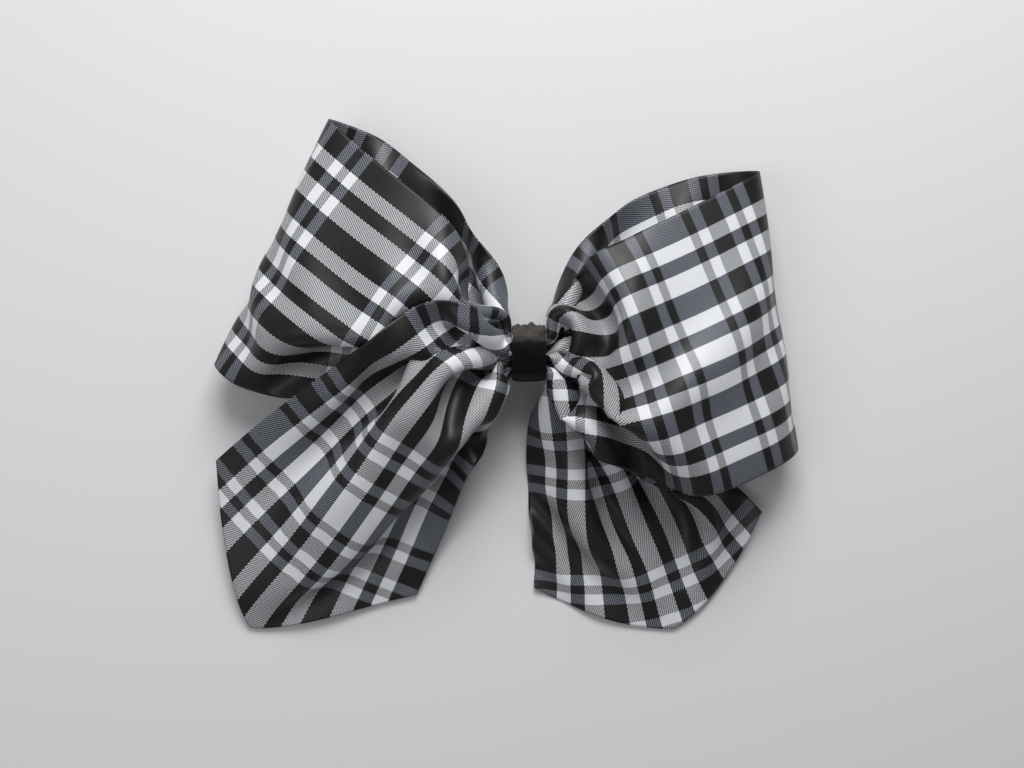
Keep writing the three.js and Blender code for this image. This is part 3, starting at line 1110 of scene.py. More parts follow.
class Heights:
    """The upper surface of a settled sheet as a map of heights over square cells of the table."""

    CELL = 1.5
    SIDE = 140
    EMPTY = -1e3
    KNOT_REACH = 13.0
    DEEPEST = 9.0
    GAP = 0.5

    def __init__(self, place: np.ndarray) -> None:
        """Takes the highest point over each cell, leaving out the knot, where layers mix.

        Args:
            place: The settled sheet.
        """
        fine = halved(halved(place)).reshape(-1, 3)
        fine = fine[np.hypot(fine[:, 0], fine[:, 1]) > self.KNOT_REACH]
        self.map = np.full((self.SIDE, self.SIDE), self.EMPTY)
        np.maximum.at(self.map, self.cell(fine), fine[:, 2])

    def cell(self, place: np.ndarray) -> tuple[np.ndarray, np.ndarray]:
        """The cell under each point."""
        at = np.clip((place[..., :2] / self.CELL + self.SIDE / 2).astype(int), 0, self.SIDE - 1)
        return at[..., 0], at[..., 1]

    def limit(self, place: np.ndarray, free: np.ndarray) -> None:
        """Lifts the free points of another sheet half of the way to a small gap above this one.

        Args:
            place: The other sheet, changed in place.
            free: Where it may move.
        """
        edge = self.map[self.cell(place)]
        z = place[..., 2]
        low = (z < edge + self.GAP) & (np.abs(z - edge) < self.DEEPEST) & (free > 0)
        place[..., 2] = np.where(low, 0.5 * z + 0.5 * (edge + self.GAP), z)


class Ribbon:
    """The whole plaid ribbon: two loops and two tails settled against one another."""

    ORDER = (
        ("right_tail", None), ("left_loop", None), ("right_loop", "right_tail"), ("left_tail", "left_loop"),
    )
    ROUNDS = 500
    QUICK_ROUNDS = 60
    COARSE_STIFFNESS = 0.25
    FINE_STIFFNESS = 0.45
    FINE_HOLD = 0.6
    LAST_HOLD = 0.1
    HIDDEN_ROWS = 4

    def __init__(self, lobes: tuple[LobeSizes, ...], finish: PlaidFinish) -> None:
        """Lays the four lobes.

        Args:
            lobes: Their sizes.
            finish: The ribbon's finish.
        """
        self.material = finish.material()
        self.lobes = {sizes.name: Lobe(sizes) for sizes in lobes}

    def settle(self) -> None:
        """Relaxes each lobe on a coarse grid, then on a finer one, lowest layer first."""
        rounds = self.ROUNDS
        for name, under in self.ORDER:
            lobe = self.lobes[name]
            limits = [above_table, above_clip, beside_wrap(lobe.sizes.roots[0].side)]
            if under:
                limits.append(Heights(self.lobes[under].cloth.place).limit)
            lobe.cloth.relax(rounds, self.COARSE_STIFFNESS, limits)
            lobe.cloth = lobe.cloth.finer()
            lobe.cloth.relax(rounds, self.FINE_STIFFNESS, limits, self.FINE_HOLD)
            lobe.cloth.relax(rounds // 3, self.FINE_STIFFNESS, limits, self.LAST_HOLD)
            LOG.info("%s settled", name)

    def build(self) -> list[bpy.types.Object]:
        """Makes the four pieces of cloth."""
        return [self.sheet(lobe) for lobe in self.lobes.values()]

    def sheet(self, lobe: Lobe) -> bpy.types.Object:
        """Makes one lobe's piece, from where it leaves the gather.

        Args:
            lobe: The settled lobe.

        Returns:
            The piece.
        """
        ends = slice(self.HIDDEN_ROWS, -self.HIDDEN_ROWS if len(lobe.sizes.roots) > 1 else None)
        place, flat = halved(lobe.cloth.place)[ends], halved(lobe.cloth.flat)[ends]
        name = lobe.sizes.name
        piece = make_cloth(name + "_cloth", place, flat, grid_faces(*place.shape[:2]), self.material)
        settle_in(piece, name)
        lines = flat[-1, :, 1] - flat[0, :, 1]
        return piece


# ---- The lobes: where the selvages, the middle line and the crossings of the plaid lie ------


RIGHT_LOOP = LobeSizes(
    name="right_loop",
    rails=(
        Rail(
            out=(
                (5.5, 6, 20.5), (11, 16, 24.5), (20, 29.5, 27.5), (36, 39, 27), (54, 47.8, 22),
                (63.8, 53.2, 15),
            ),
            back=(
                (57, 55, 8.6), (42, 50, 6), (27, 41.5, 7.4), (13, 30, 11), (6.4, 14, 14.4),
                (5.7, 7.4, 15.6),
            ),
            flat=(-54, 30.8, 121),
        ),
        Rail(
            out=(
                (5.5, 0.5, 22.5), (16, 2, 29), (34, 5, 33.5), (52, 9, 30), (64, 13, 22.5),
                (67.8, 15.5, 15),
            ),
            back=((64, 15, 7.5), (50, 14, 3), (34, 10, 5), (20, 6, 11), (5.5, 0.5, 15.5)),
            flat=(-62, 28.3, 108),
        ),
        Rail(
            out=(
                (5.5, -5, 19.5), (13, -13, 22), (26, -26, 24), (41, -33, 24), (58, -32.3, 21),
                (69, -25.5, 17), (72.7, -18.5, 12),
            ),
            back=((68, -14, 7.4), (54, -16, 4.4), (36, -15, 4.6), (20, -9, 9.8), (5.5, -3.5, 15)),
            flat=(-79, 21, 103),
        ),
    ),
    rows=(32, 28),
    roots=(Root(1, 6.9, -3.2, 12.4, 22.9), Root(1, 6.7, -3.0, 11.6, 20.4)),
    marks=(
        (-56.75, ((28.7, 9, 1.7, 23.5), (37.5, 6.5, -1.8, 23))),
        (-51.25, ((17.45, 8.2, 8.2, 24.5), (28.7, 13.3, 0.4, 23.5), (37.5, 12.5, -4.6, 23.5))),
        (-44.5, ((17.45, 11.8, 10.3, 25.5),)),
        (-37.4, (
            (8.85, 14.5, 15, 16.5), (17.45, 17, 7.2, 25.5), (28.7, 16.5, 0.6, 24.5),
            (37.5, 16.5, -6.6, 24.5), (66.25, 26, -21, 17),
        )),
        (-30, (
            (8.85, 19.5, 18.5, 20), (17.45, 22.5, 8.5, 27.5), (28.7, 22, -0.3, 27),
            (37.5, 22, -5.6, 25.5), (66.25, 31, -23.5, 18),
        )),
        (-23.75, (
            (3.5, 17.7, 25.5), (8.85, 21, 20.5), (17.45, 25.5, 12), (28.7, 27.3, 2.5),
            (37.5, 28.7, -7), (46.4, 31.5, -14.5), (57.65, 35, -22), (66.25, 37, -28.5),
        )),
        (-18.25, (
            (3.5, 21, 28), (8.85, 24.2, 22), (17.45, 28.3, 14.5), (28.7, 31, 3.3), (37.5, 34.6, -5),
            (46.4, 36.3, -13), (57.65, 39.5, -21.5), (66.25, 42, -27.5),
        )),
        (-9.75, (
            (3.5, 28, 31.5), (8.85, 30.2, 26.3), (17.45, 34, 17.7), (28.7, 38.5, 6),
            (37.5, 42, -2.3), (46.4, 44.3, -9.7), (57.65, 47, -19), (66.25, 49, -26.8),
        )),
        (0, (
            (3.5, 37, 36), (8.85, 39, 29.8), (17.45, 42.8, 21), (28.7, 47.7, 9.5), (37.5, 51, 0.8),
            (46.4, 53.2, -6.4), (57.65, 55.7, -16.8), (66.25, 57.3, -24.8),
        )),
        (9.75, (
            (8.85, 48, 34), (17.45, 51.7, 25.6), (28.7, 56.3, 14), (37.5, 58.8, 5),
            (46.4, 60.4, -3), (57.65, 63.2, -13.4), (66.25, 65, -21),
        )),
        (18.25, (
            (8.85, 56, 38), (17.45, 59.7, 29.5), (28.7, 62.5, 18.2), (37.5, 64.7, 9.5),
            (46.4, 66.3, 0.5),
        )),
        (30.8, ((0, 63.8, 54),)),
        (28.3, ((37.5, 67.8, 13),)),
        (21, ((75, 72, -23.5),)),
        (56.75, ((3.5, 46, 48),)),
        (65.25, ((3.5, 38.5, 45),)),
        (75, ((6, 30.5, 41),)),
        (84.75, ((3.5, 23, 37),)),
        (93.25, ((3.5, 17.3, 31.7),)),
        (98.75, ((3.5, 14.5, 27.2),)),
    ),
)

LEFT_LOOP = LobeSizes(
    name="left_loop",
    rails=(
        Rail(
            out=(
                (-5.5, 6, 17), (-11, 14, 21.4), (-19.5, 32.7, 26), (-31.6, 45.5, 26.4),
                (-43.6, 55.9, 22), (-54.8, 68.2, 15),
            ),
            back=(
                (-49.5, 66.6, 9), (-39.5, 60.6, 5.6), (-29, 53, 5.6), (-17, 39, 8), (-8, 24, 10.6),
                (-5.5, 7, 12.6),
            ),
            flat=(-16, 65.5, 163),
        ),
        Rail(
            out=(
                (-5.5, 0.8, 18), (-20, 9, 24.5), (-38, 20, 29.5), (-55, 28, 27), (-66, 33.5, 21),
                (-70, 35, 14),
            ),
            back=((-66, 34, 7), (-50, 27, 2.4), (-31, 17, 6.6), (-16, 7, 11.6), (-5.5, 0.5, 12.4)),
            flat=(-22, 62.5, 147),
        ),
        Rail(
            out=(
                (-5.5, -4.5, 15.6), (-17, -9, 15.6), (-36, -12, 16), (-55, -11.5, 17.6),
                (-70, -8.5, 17.4), (-80, -3.5, 15), (-84.6, 2.5, 11),
            ),
            back=((-78, 3, 6), (-62, -1, 3.4), (-45, -3, 6.4), (-29, -3.4, 11), (-5.5, -3, 12)),
            flat=(-26, 62.3, 142),
        ),
    ),
    rows=(30, 28),
    roots=(Root(-1, 6.9, -3.2, 11.6, 20.4), Root(-1, 6.7, -3.0, 10.9, 18.0)),
    marks=(
        (0, ((8.85, -17.5, 16),)),
        (9.75, ((3.5, -18.5, 25), (8.85, -21.5, 22), (17.45, -23.5, 17.3))),
        (18.25, ((3.5, -21, 32), (8.85, -25.5, 28.5), (17.45, -28.5, 22.3), (28.7, -35.5, 14))),
        (23.75, (
            (3.5, -24.5, 36.5), (8.85, -28.3, 32), (17.45, -33, 25.6), (28.7, -39.3, 15.9),
            (37.5, -45, 8.7),
        )),
        (37.4, (
            (8.85, -38.5, 41.3), (17.45, -44.5, 33.5), (28.7, -51, 23.8), (37.5, -56, 16),
            (46.4, -60.5, 8.2), (57.65, -65, 4), (66.25, -66, -1),
        )),
        (51.25, (
            (3.5, -45, 54.5), (8.85, -49, 49), (17.45, -55.3, 41.7), (28.7, -62.2, 32),
            (37.5, -66.3, 23.8), (46.4, -70, 16.5), (57.65, -74, 8.5), (66.25, -75.8, 2.3),
        )),
        (56.75, (
            (8.85, -53.7, 52.8), (17.45, -59.5, 45.8), (28.7, -65, 35.8), (37.5, -69.5, 26.8),
            (46.4, -72.7, 18.7), (57.65, -76.6, 11), (66.25, -79.3, 4.4),
        )),
        (66.5, ((0, -54.2, 68.2),)),
        (62.5, ((37.5, -71, 31),)),
        (62.3, ((75, -84.8, 2.5),)),
        (44, ((75, -76, -6.5),)),
        (25, ((75, -62, -11),)),
        (84.75, ((3.5, -47.5, 62.3),)),
        (93.25, ((3.5, -41, 57.8),)),
        (98.75, ((3.5, -36.8, 54.6),)),
        (126.25, ((3.5, -19.2, 37.6),)),
        (131.75, ((3.5, -16.5, 33),)),
        (140.25, ((3.5, -12.5, 26.4),)),
        (150, ((3.5, -9, 19.6),)),
    ),
)

LEFT_TAIL = LobeSizes(
    name="left_tail",
    rails=(
        Rail(
            out=(
                (-5.5, 6, 21.5), (-15.3, 13.4, 27.5), (-31, 13.7, 30), (-40.6, 7.4, 29),
                (-54.3, -2.7, 25), (-72, -15, 16), (-89.7, -28.1, 5), (-105, -52, 2),
            ),
            flat=(-88, 46),
        ),
        Rail(
            out=(
                (-5.5, 0.8, 23), (-18, -3, 30), (-34, -18, 28), (-52, -42, 17.5), (-66, -58, 8.5),
                (-77.4, -73.1, 1.2),
            ),
            flat=(-70.5, 46),
        ),
        Rail(
            out=(
                (-5.5, -4.5, 17), (-8, -12, 17), (-12.5, -21, 17), (-16.3, -28.5, 15.5),
                (-22, -40, 9), (-31.9, -64.9, 1.5), (-45, -90, 1),
            ),
            flat=(-54.5, 46),
        ),
    ),
    rows=(34,),
    roots=(Root(-1, 6.9, -3.2, 12.4, 22.9),),
    point=28.0,
    marks=(
        (-75, (
            (3.5, -12, 9.3, 24), (8.85, -11.5, 6.3, 25.5), (23, -9, 4.4, 18), (37.5, -5.6, 2.8, 23),
        )),
        (-65.25, (
            (8.85, -17.5, 8.5, 26.5), (23, -15, 4.2, 20), (37.5, -9.6, 2.4, 26), (50, -7, 0.6, 19),
        )),
        (-56.75, (
            (8.85, -25, 8, 27), (28.7, -20, 3.6, 22), (37.5, -15.2, 1, 28), (46.4, -13.8, -1.3, 25),
            (57.65, -9.5, -2.6, 19), (66.25, -7.9, -1.4, 23.5),
        )),
        (-51.25, (
            (8.85, -28.5, 7.5, 27.5), (17.45, -27.3, 1.5, 23), (28.7, -24, 0.6, 24),
            (37.5, -20.5, -0.8, 30), (46.4, -17.2, -4, 27), (66.25, -9.7, -5.2, 23),
        )),
        (-37.4, (
            (3.5, -38, 5.5, 28.5), (8.85, -36.5, 1, 26), (17.45, -35, -4, 21),
            (28.7, -35, -8.8, 26), (37.5, -29.3, -9.8, 31), (46.4, -22.3, -13.6, 28),
            (66.25, -16, -18.3, 21.5), (75, -12, -20.6, 15),
        )),
        (-46, ((75, -8.4, -13, 13),)),
        (-30, ((75, -14.4, -25, 15),)),
        (-23.75, (
            (3.5, -49.5, -4, 25.5), (8.85, -47.5, -8, 23), (17.45, -45.5, -12, 18),
            (28.7, -43.5, -16, 26), (37.5, -36.5, -19.3, 29), (46.4, -28.8, -24.4, 26),
            (57.65, -22.5, -27.5, 19.5), (71.6, -18, -27.5, 17),
        )),
        (-18.25, (
            (3.5, -54.5, -7.5, 23.5), (8.85, -51.5, -11, 21), (17.45, -49.3, -15.5, 16),
            (28.7, -45.5, -20.5, 24.5), (37.5, -38.8, -24.3, 27.5), (46.4, -31.8, -28.7, 24),
            (57.65, -26, -31.8, 16.5), (71.6, -20.4, -32, 14.5),
        )),
        (-9.75, (
            (3.5, -61, -12.5, 20.5), (8.85, -57.5, -16.7, 18), (17.45, -55.5, -21.5, 14),
            (28.7, -50, -26.5, 22.5), (37.5, -43.5, -31, 25), (46.4, -36.3, -35.7, 21),
            (57.65, -31.3, -37.8, 12.5), (66.25, -27.7, -37, 11.5), (71.6, -24, -38.2, 10),
        )),
        (0, (
            (3.5, -69, -17.5, 16), (8.85, -65.5, -23, 14), (17.45, -61.5, -28.5, 12),
            (28.7, -55.5, -34, 18.5), (37.5, -49.2, -38.8, 20.5), (46.4, -42.5, -42.5, 17),
            (57.65, -38, -45.2, 8.5), (66.25, -32.3, -44.8, 7), (71.6, -27, -46, 6),
        )),
        (9.75, (
            (3.5, -77.5, -23.5, 11), (8.85, -73.7, -29.3, 10), (17.45, -68.8, -35.7, 9),
            (28.7, -62.3, -41.5, 14), (37.5, -54.2, -46.8, 15.5), (46.4, -47, -51.5, 12),
            (57.65, -40.5, -51.2, 6), (66.25, -34.5, -52.3, 4.5), (71.6, -30, -53.5, 3.5),
        )),
        (18.25, (
            (0, -88.9, -27.6, 5.5), (3.5, -84.5, -29, 7), (8.85, -80.5, -35, 6.5),
            (17.45, -75.2, -42, 7), (28.7, -67.2, -48.2, 10), (37.5, -59.2, -53.3, 11),
            (46.4, -52.5, -57.2, 8), (57.65, -45.5, -57.2, 4), (66.25, -38.3, -59.5, 2.5),
            (75, -31.9, -64.4, 1.5),
        )),
        (23.75, (
            (8.85, -85.8, -38.5, 4.5), (17.45, -79.3, -45.8, 5), (28.7, -70.5, -52.5, 8),
            (37.5, -62.8, -57.8, 8), (46.4, -56, -61, 5.5), (57.65, -48, -61.5, 3),
            (66.25, -40.5, -64.5, 2),
        )),
        (44, ((37.5, -77.6, -71, 1.5),)),
    ),
)

RIGHT_TAIL = LobeSizes(
    name="right_tail",
    rails=(
        Rail(
            out=(
                (5.7, -5.2, 12.2), (5.2, -9, 10.6), (3.2, -16, 8), (2.4, -30, 4.6), (2.2, -46, 2.4),
                (2.2, -61.4, 1.2), (5, -74, 1),
            ),
            flat=(-11, 68.25),
        ),
        Rail(
            out=((5.7, -4, 12), (10, -16, 7.4), (18, -36, 3), (28, -56, 2.4), (38.7, -74.4, 1.6)),
            flat=(-16, 68.25),
        ),
        Rail(
            out=(
                (5.7, -3, 11.8), (12, -10, 7), (26, -20, 2.2), (44, -31, 2.2), (61.1, -41.2, 4),
                (68, -52, 4),
            ),
            flat=(-22, 68.25),
        ),
    ),
    rows=(24,),
    roots=(Root(1, -3.2, 6.9, 10.9, 18.0),),
    point=13.0,
    marks=(
        (-9.75, ((8.85, 3.2, -7.2),)),
        (0, ((8.85, 4, -15.2), (17.45, 11.7, -16.2))),
        (9.75, ((8.85, 5.3, -23.2, 7), (17.45, 12.2, -24, 9))),
        (18.25, ((8.85, 6, -30.4, 6), (17.45, 12.7, -31.6, 8.5))),
        (23.75, (
            (8.85, 6.7, -35.3, 5), (17.45, 13.2, -36.5, 8), (28.7, 20.5, -36.2, 6),
            (37.5, 26, -34.8, 5),
        )),
        (37.4, (
            (3.5, 3.5, -45.5, 3), (8.85, 8, -47, 4), (17.45, 14, -48, 6), (28.7, 22, -47, 5),
            (37.5, 29.5, -46, 4.5), (46.4, 37, -43, 4), (57.65, 46.5, -40, 3.5),
        )),
        (51.25, (
            (3.5, 4.5, -57, 1.5), (8.85, 9.5, -58.2, 2), (17.45, 16.3, -58.7, 3),
            (28.7, 26.7, -59.5, 3.5), (37.5, 35, -57.8, 3.5), (46.4, 42.5, -54.5, 3),
            (57.65, 50, -48, 3.5), (66.25, 54.7, -43.3, 4),
        )),
        (56.75, (
            (8.85, 10, -62.5, 1.5), (17.45, 17.5, -63.5, 2), (28.7, 28, -64, 2.5),
            (37.5, 36.5, -61.8, 2.5), (46.4, 43.8, -58.5, 2.5), (57.65, 51.5, -51.8, 3.5),
        )),
    ),
)


# ---- Centre ---------------------------------------------------------------------------------


@dataclass(frozen=True)
class GatherSizes:
    """The ribbon inside the wrap, in millimetres.

    Attributes:
        reach: How far it goes to either side of the knot's middle.
        waist: Share by which the thread draws it in.
        waist_reach: How far to either side the thread does so.
        rows: Points along it.
        columns: Points across it.
        spread: Width of the gather's ribbon once its folds are pressed flat. Not used.
        shift: How far the plaid moves along from one layer to the next.
    """

    reach: float = 4.6
    waist: float = 0.05
    waist_reach: float = 2.2
    rows: int = 13
    columns: int = 97
    spread: float = 64.0
    shift: float = 20.0


class GatheredCentre:
    """The ribbon inside the wrap: three layers, each folded like a fan and squeezed by the thread."""

    def __init__(
        self, sizes: GatherSizes, layers: tuple[tuple[Root, Root], ...], finish: PlaidFinish
    ) -> None:
        """Keeps what the layers are made from.

        Args:
            sizes: The gather's sizes.
            layers: The roots that each layer joins, left then right.
            finish: The ribbon's finish.
        """
        self.sizes = sizes
        self.layers = layers
        self.material = finish.material()

    def build(self) -> bpy.types.Object:
        """Makes the three layers as one piece.

        Between its two roots a layer is their straight blend, drawn in towards the middle of the
        bundle by a bell under the thread.

        Returns:
            The piece.
        """
        size = self.sizes
        across = np.linspace(0, 1, size.columns)
        x = np.linspace(-size.reach, size.reach, size.rows)
        share = ((x + size.reach) / (2 * size.reach))[:, None, None]
        waist = (size.waist * np.exp(-((x / size.waist_reach) ** 2)))[:, None, None]
        sheets, flats, faces = [], [], []
        for number, (left, right) in enumerate(self.layers):
            section = (1 - share) * left.fan(across) + share * right.fan(across)
            section = section + waist * (BUNDLE - section)
            along = np.broadcast_to(x[:, None, None], section.shape[:2] + (1,))
            sheets.append(np.concatenate([along, section], -1))
            width = (across - 0.5) * RIBBON_WIDTH
            flats.append(np.stack(np.broadcast_arrays(width, x[:, None] + size.shift * number), -1))
            faces.append(grid_faces(size.rows, size.columns) + number * size.rows * size.columns)
        every, flat = np.stack(sheets), np.stack(flats)
        piece = make_cloth("gathered_centre_cloth", every, flat, np.concatenate(faces), self.material)
        settle_in(piece, "gathered_centre")
        return piece


@dataclass(frozen=True)
class ThreadSizes:
    """The thread wound round the gather, in millimetres.

    Attributes:
        turns: Turns round the gather.
        pitch: Distance between turns.
        radius: Half the thread's thickness.
        clear: Gap between the gather and the thread.
        steps: Points along a turn.
        sides: Points round the thread.
        twist: How fast the plies turn about each other, in radians a millimetre.
        ply: How much the plies stand out, as a share of the radius.
    """

    turns: int = 9
    pitch: float = 0.42
    radius: float = 0.2
    clear: float = 0.05
    steps: int = 72
    sides: int = 10
    twist: float = 5.5
    ply: float = 0.13


class BindingThread:
    """Close turns of two-ply thread round the squeezed ribbon."""

    def __init__(self, sizes: ThreadSizes, gather: GatherSizes, finish: ThreadFinish) -> None:
        """Keeps what the winding is made from.

        Args:
            sizes: The thread's sizes.
            gather: The sizes of the gather under it.
            finish: The thread's finish.
        """
        self.sizes = sizes
        self.gather = gather
        self.material = finish.material()

    def build(self) -> bpy.types.Object:
        """Makes the winding.

        The path is a helix on the bundle's oval. Round it goes a circle whose radius swells twice
        a turn about the thread, and that swelling climbs along it as the plies twist.

        Returns:
            The piece.
        """
        size = self.sizes
        turn = np.linspace(0, size.turns, size.turns * size.steps + 1)
        angle = 2 * np.pi * turn
        reach = BUNDLE_REACH * (1 - self.gather.waist) + size.radius + size.clear
        spoke = np.stack([np.cos(angle), np.sin(angle)], -1)
        edge = (np.abs(spoke / reach) ** BUNDLE_SQUARE).sum(-1) ** (-1 / BUNDLE_SQUARE)
        path = np.column_stack([(turn - size.turns / 2) * size.pitch, BUNDLE + spoke * edge[:, None]])
        length = np.r_[0.0, np.cumsum(np.linalg.norm(np.diff(path, axis=0), axis=1))][:, None]
        ring = np.linspace(0, 2 * np.pi, size.sides, endpoint=False)[None]
        thick = size.radius * (1 + size.ply * np.cos(2 * (ring - size.twist * length)))
        points, faces = tube(path, np.array([1.0, 0.0, 0.0]), thick)
        piece = make_piece("binding_thread_winding", points, faces, self.material)
        settle_in(piece, "binding_thread")
        return piece


@dataclass(frozen=True)
class WrapSizes:
    """The velvet ribbon round the knot, in millimetres.

    Attributes:
        ribbon: The ribbon's width before it is drawn tight. Not used.
        half_length: Half its width once tight, along the bow.
        section: y and z round the band, from under the clip up over the knot.
        thickness: How thick the pile and its backing are.
        ruffle: Height of the waves on the slack side.
        waves: The waves of the ruffle: for each its share of the height, its radians from the
            middle of the ribbon to an edge, its radians a millimetre of z, and its start.
        slack: y where the slack side starts, and over what length it comes on.
        ripple: Height of the faint waves all round.
        rolled: How far the edges are drawn in.
        pinched: Share by which the slack side is narrower.
        around: Points round the band.
        across: Points across the ribbon.
    """

    ribbon: float = 10.0
    half_length: float = 4.65
    section: tuple[tuple[float, float], ...] = (
        (0, 7.1), (-4.2, 7.15), (-5.0, 8.4), (-4.9, 12), (-4.5, 17), (-4.1, 21), (-3.0, 23.4),
        (-0.6, 24.3), (2.4, 24.3), (4.9, 23.5), (6.7, 21.3), (8.7, 18.6), (10.2, 15.2), (9.6, 11.6),
        (7.2, 8.6), (4.4, 7.1),
    )
    thickness: float = 0.7
    ruffle: float = 0.55
    waves: tuple[tuple[float, float, float, float], ...] = ((1.0, 5.2, 0.9, 0.0), (0.6, 9.0, -0.5, 1.0))
    slack: tuple[float, float] = (5.0, 2.0)
    ripple: float = 0.10
    rolled: float = 0.35
    pinched: float = 0.09
    around: int = 180
    across: int = 41


class CentreWrap:
    """A band of velvet drawn round the gather, slack and ruffled on its upper side."""

    def __init__(self, sizes: WrapSizes, finish: VelvetFinish) -> None:
        """Keeps the sizes and the finish."""
        self.sizes = sizes
        self.material = finish.material()

    def shells(self, loop: np.ndarray) -> np.ndarray:
        """Carries the section along the bow, once for the pile and once for the backing.

        On the slack side it is moved along its normal by slow sine waves and narrowed. Its edges
        are drawn in by the sixth power of the distance from the middle of the ribbon.

        Args:
            loop: y and z round the band.

        Returns:
            Rings of points, out along the pile and back along the backing.
        """
        size = self.sizes
        ahead = np.roll(loop, -1, axis=0) - np.roll(loop, 1, axis=0)
        normal = np.stack([-ahead[:, 1], ahead[:, 0]], -1)
        normal /= np.linalg.norm(normal, axis=1, keepdims=True)
        start, length = size.slack
        slack = np.clip((loop[:, 0] - start) / length, 0, 1)
        reach = np.linspace(-1, 1, size.across)[:, None]
        y, z = loop[:, 0], loop[:, 1]
        wave = sum(
            share * np.sin(side * reach + up * z[None] + begin) for share, side, up, begin in size.waves
        )
        lift = size.ruffle * slack * wave + size.ripple * np.sin(3 * reach + 0.8 * y[None])
        lift = lift - size.rolled * np.abs(reach) ** 6
        narrow = 1 - size.pinched * slack * (0.5 + 0.5 * np.sin(0.9 * z))
        shells = []
        for inset in (0.0, size.thickness):
            yz = loop[None] + (lift - inset)[..., None] * normal[None]
            x = np.broadcast_to(reach * (size.half_length - 0.1 * inset) * narrow, yz.shape[:2])
            shells.append(np.concatenate([x[..., None], yz], -1))
        return np.concatenate([shells[0], shells[1][::-1]])

    def build(self) -> bpy.types.Object:
        """Makes the band: a closed smooth curve through the section's points, as a closed shell.

        Returns:
            The piece.
        """
        size = self.sizes
        section = np.array(size.section + size.section[:1], float)
        loop = spline_loop(section, np.linspace(0, 1, size.around, endpoint=False))
        points = self.shells(loop)
        rings, count = points.shape[:2]
        last = (rings - 1) * count
        ring = np.arange(count)
        after = (ring + 1) % count
        close = np.stack([last + ring, last + after, after, ring], -1)
        faces = np.concatenate([grid_faces(rings, count, closed=True), close])
        piece = make_piece("velvet_band", points, faces, self.material)
        settle_in(piece, "centre_wrap")
        return piece


# ---- Clip -----------------------------------------------------------------------------------


@dataclass(frozen=True)
class SpringSizes:
    """The torsion spring round the hinge pin, in millimetres.

    Attributes:
        wire: Radius of the wire.
        radius: Radius of the coil, to the middle of the wire.
        turns: Turns of the coil.
        pitch: How far a turn travels along the pin.
        leg: How far each leg reaches beyond the coil.
        slope: How far the lower leg leans away from the upper one, in degrees.
        steps: Points along the wire.
        sides: Points round it.
    """

    wire: float = 0.28
    radius: float = 1.25
    turns: float = 4.5
    pitch: float = 0.68
    leg: float = 7.5
    slope: float = 6.0
    steps: int = 420
    sides: int = 12


class TorsionSpring:
    """The clip's spring. Its upper leg stays with the plate and its lower leg turns with the jaw."""

    def __init__(self, sizes: SpringSizes, finish: MetalFinish) -> None:
        """Keeps the sizes and the finish."""
        self.sizes = sizes
        self.material = finish.material()

    def build(self) -> bpy.types.Object:
        """Makes the spring.

        The wire runs straight in from the tip of the upper leg, winds round the pin while it
        travels evenly along it, and leaves straight along the lower leg.

        Returns:
            The piece.
        """
        size = self.sizes
        top = np.pi / 2
        sweep = 2 * np.pi * size.turns - np.radians(size.slope)
        along = np.linspace(0, sweep * size.radius + 2 * size.leg, size.steps)
        swept = np.clip((along - size.leg) / size.radius, 0, sweep)
        past = along - size.leg - swept * size.radius
        angle = top + swept
        x = size.radius * np.cos(angle) - past * np.sin(angle)
        y = (swept - sweep / 2) / (2 * np.pi) * size.pitch
        z = size.radius * np.sin(angle) + past * np.cos(angle)
        thick = np.full((size.steps, size.sides), size.wire)
        points, faces = tube(PIN + np.column_stack([x, y, z]), np.array([0.0, 1.0, 0.0]), thick)
        piece = make_piece("torsion_spring", points, faces, self.material)
        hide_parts("clip_spring")
        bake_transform(piece)
        return piece


class Clip:
    """The alligator clip and the glue on it, which keep the frame's own shapes."""

    PLATED = ("clip_upper_jaw", "clip_lower_jaw", "clip_hinge_pin")
    GLUED = ("glue_bed",)

    def __init__(self, plate: MetalFinish, glue: GlueFinish) -> None:
        """Keeps a material for the plated pieces and one for the glue."""
        plated, glued = plate.material(), glue.material()
        self.materials = {name: plated for name in self.PLATED} | {name: glued for name in self.GLUED}

    def dress(self) -> None:
        """Gives each of the frame's pieces its material."""
        for name, material in self.materials.items():
            slots = frame["nodes"][name].data.materials
            slots.clear()
            slots.append(material)
            LOG.info("dressed %s", name)


# ---- Studio ---------------------------------------------------------------------------------


@dataclass(frozen=True)
class Lamp:
    """A square light that faces the bow.

    Attributes:
        name: What it is called.
        place: Where it hangs.
        side: Length of its side.
        power: Its strength in watts.
    """

    name: str
    place: tuple[float, float, float]
    side: float
    power: float


@dataclass(frozen=True)
class StudioSizes:
    """Where the camera stands and how the light falls.

    Attributes:
        aim: What the camera points at.
        distance: How far it stands from there.
        elevation: Its height over the table, in degrees.
        lens: Its focal length, in millimetres.
        table: Half the table's side.
        lamps: The lights.
        sky: The colour of the light from all round.
        sky_power: Its strength.
    """

    aim: tuple[float, float, float] = (-4.6, -6.0, 17.0)
    distance: float = 430.0
    elevation: float = 88.0
    lens: float = 55.5
    table: float = 1500.0
    lamps: tuple[Lamp, ...] = (
        Lamp("key", (40, 420, 420), 360, 3.0),
        Lamp("fill", (-300, -60, 420), 300, 0.35),
    )
    sky: tuple[float, ...] = (0.93, 0.96, 1.0, 1)
    sky_power: float = 0.22


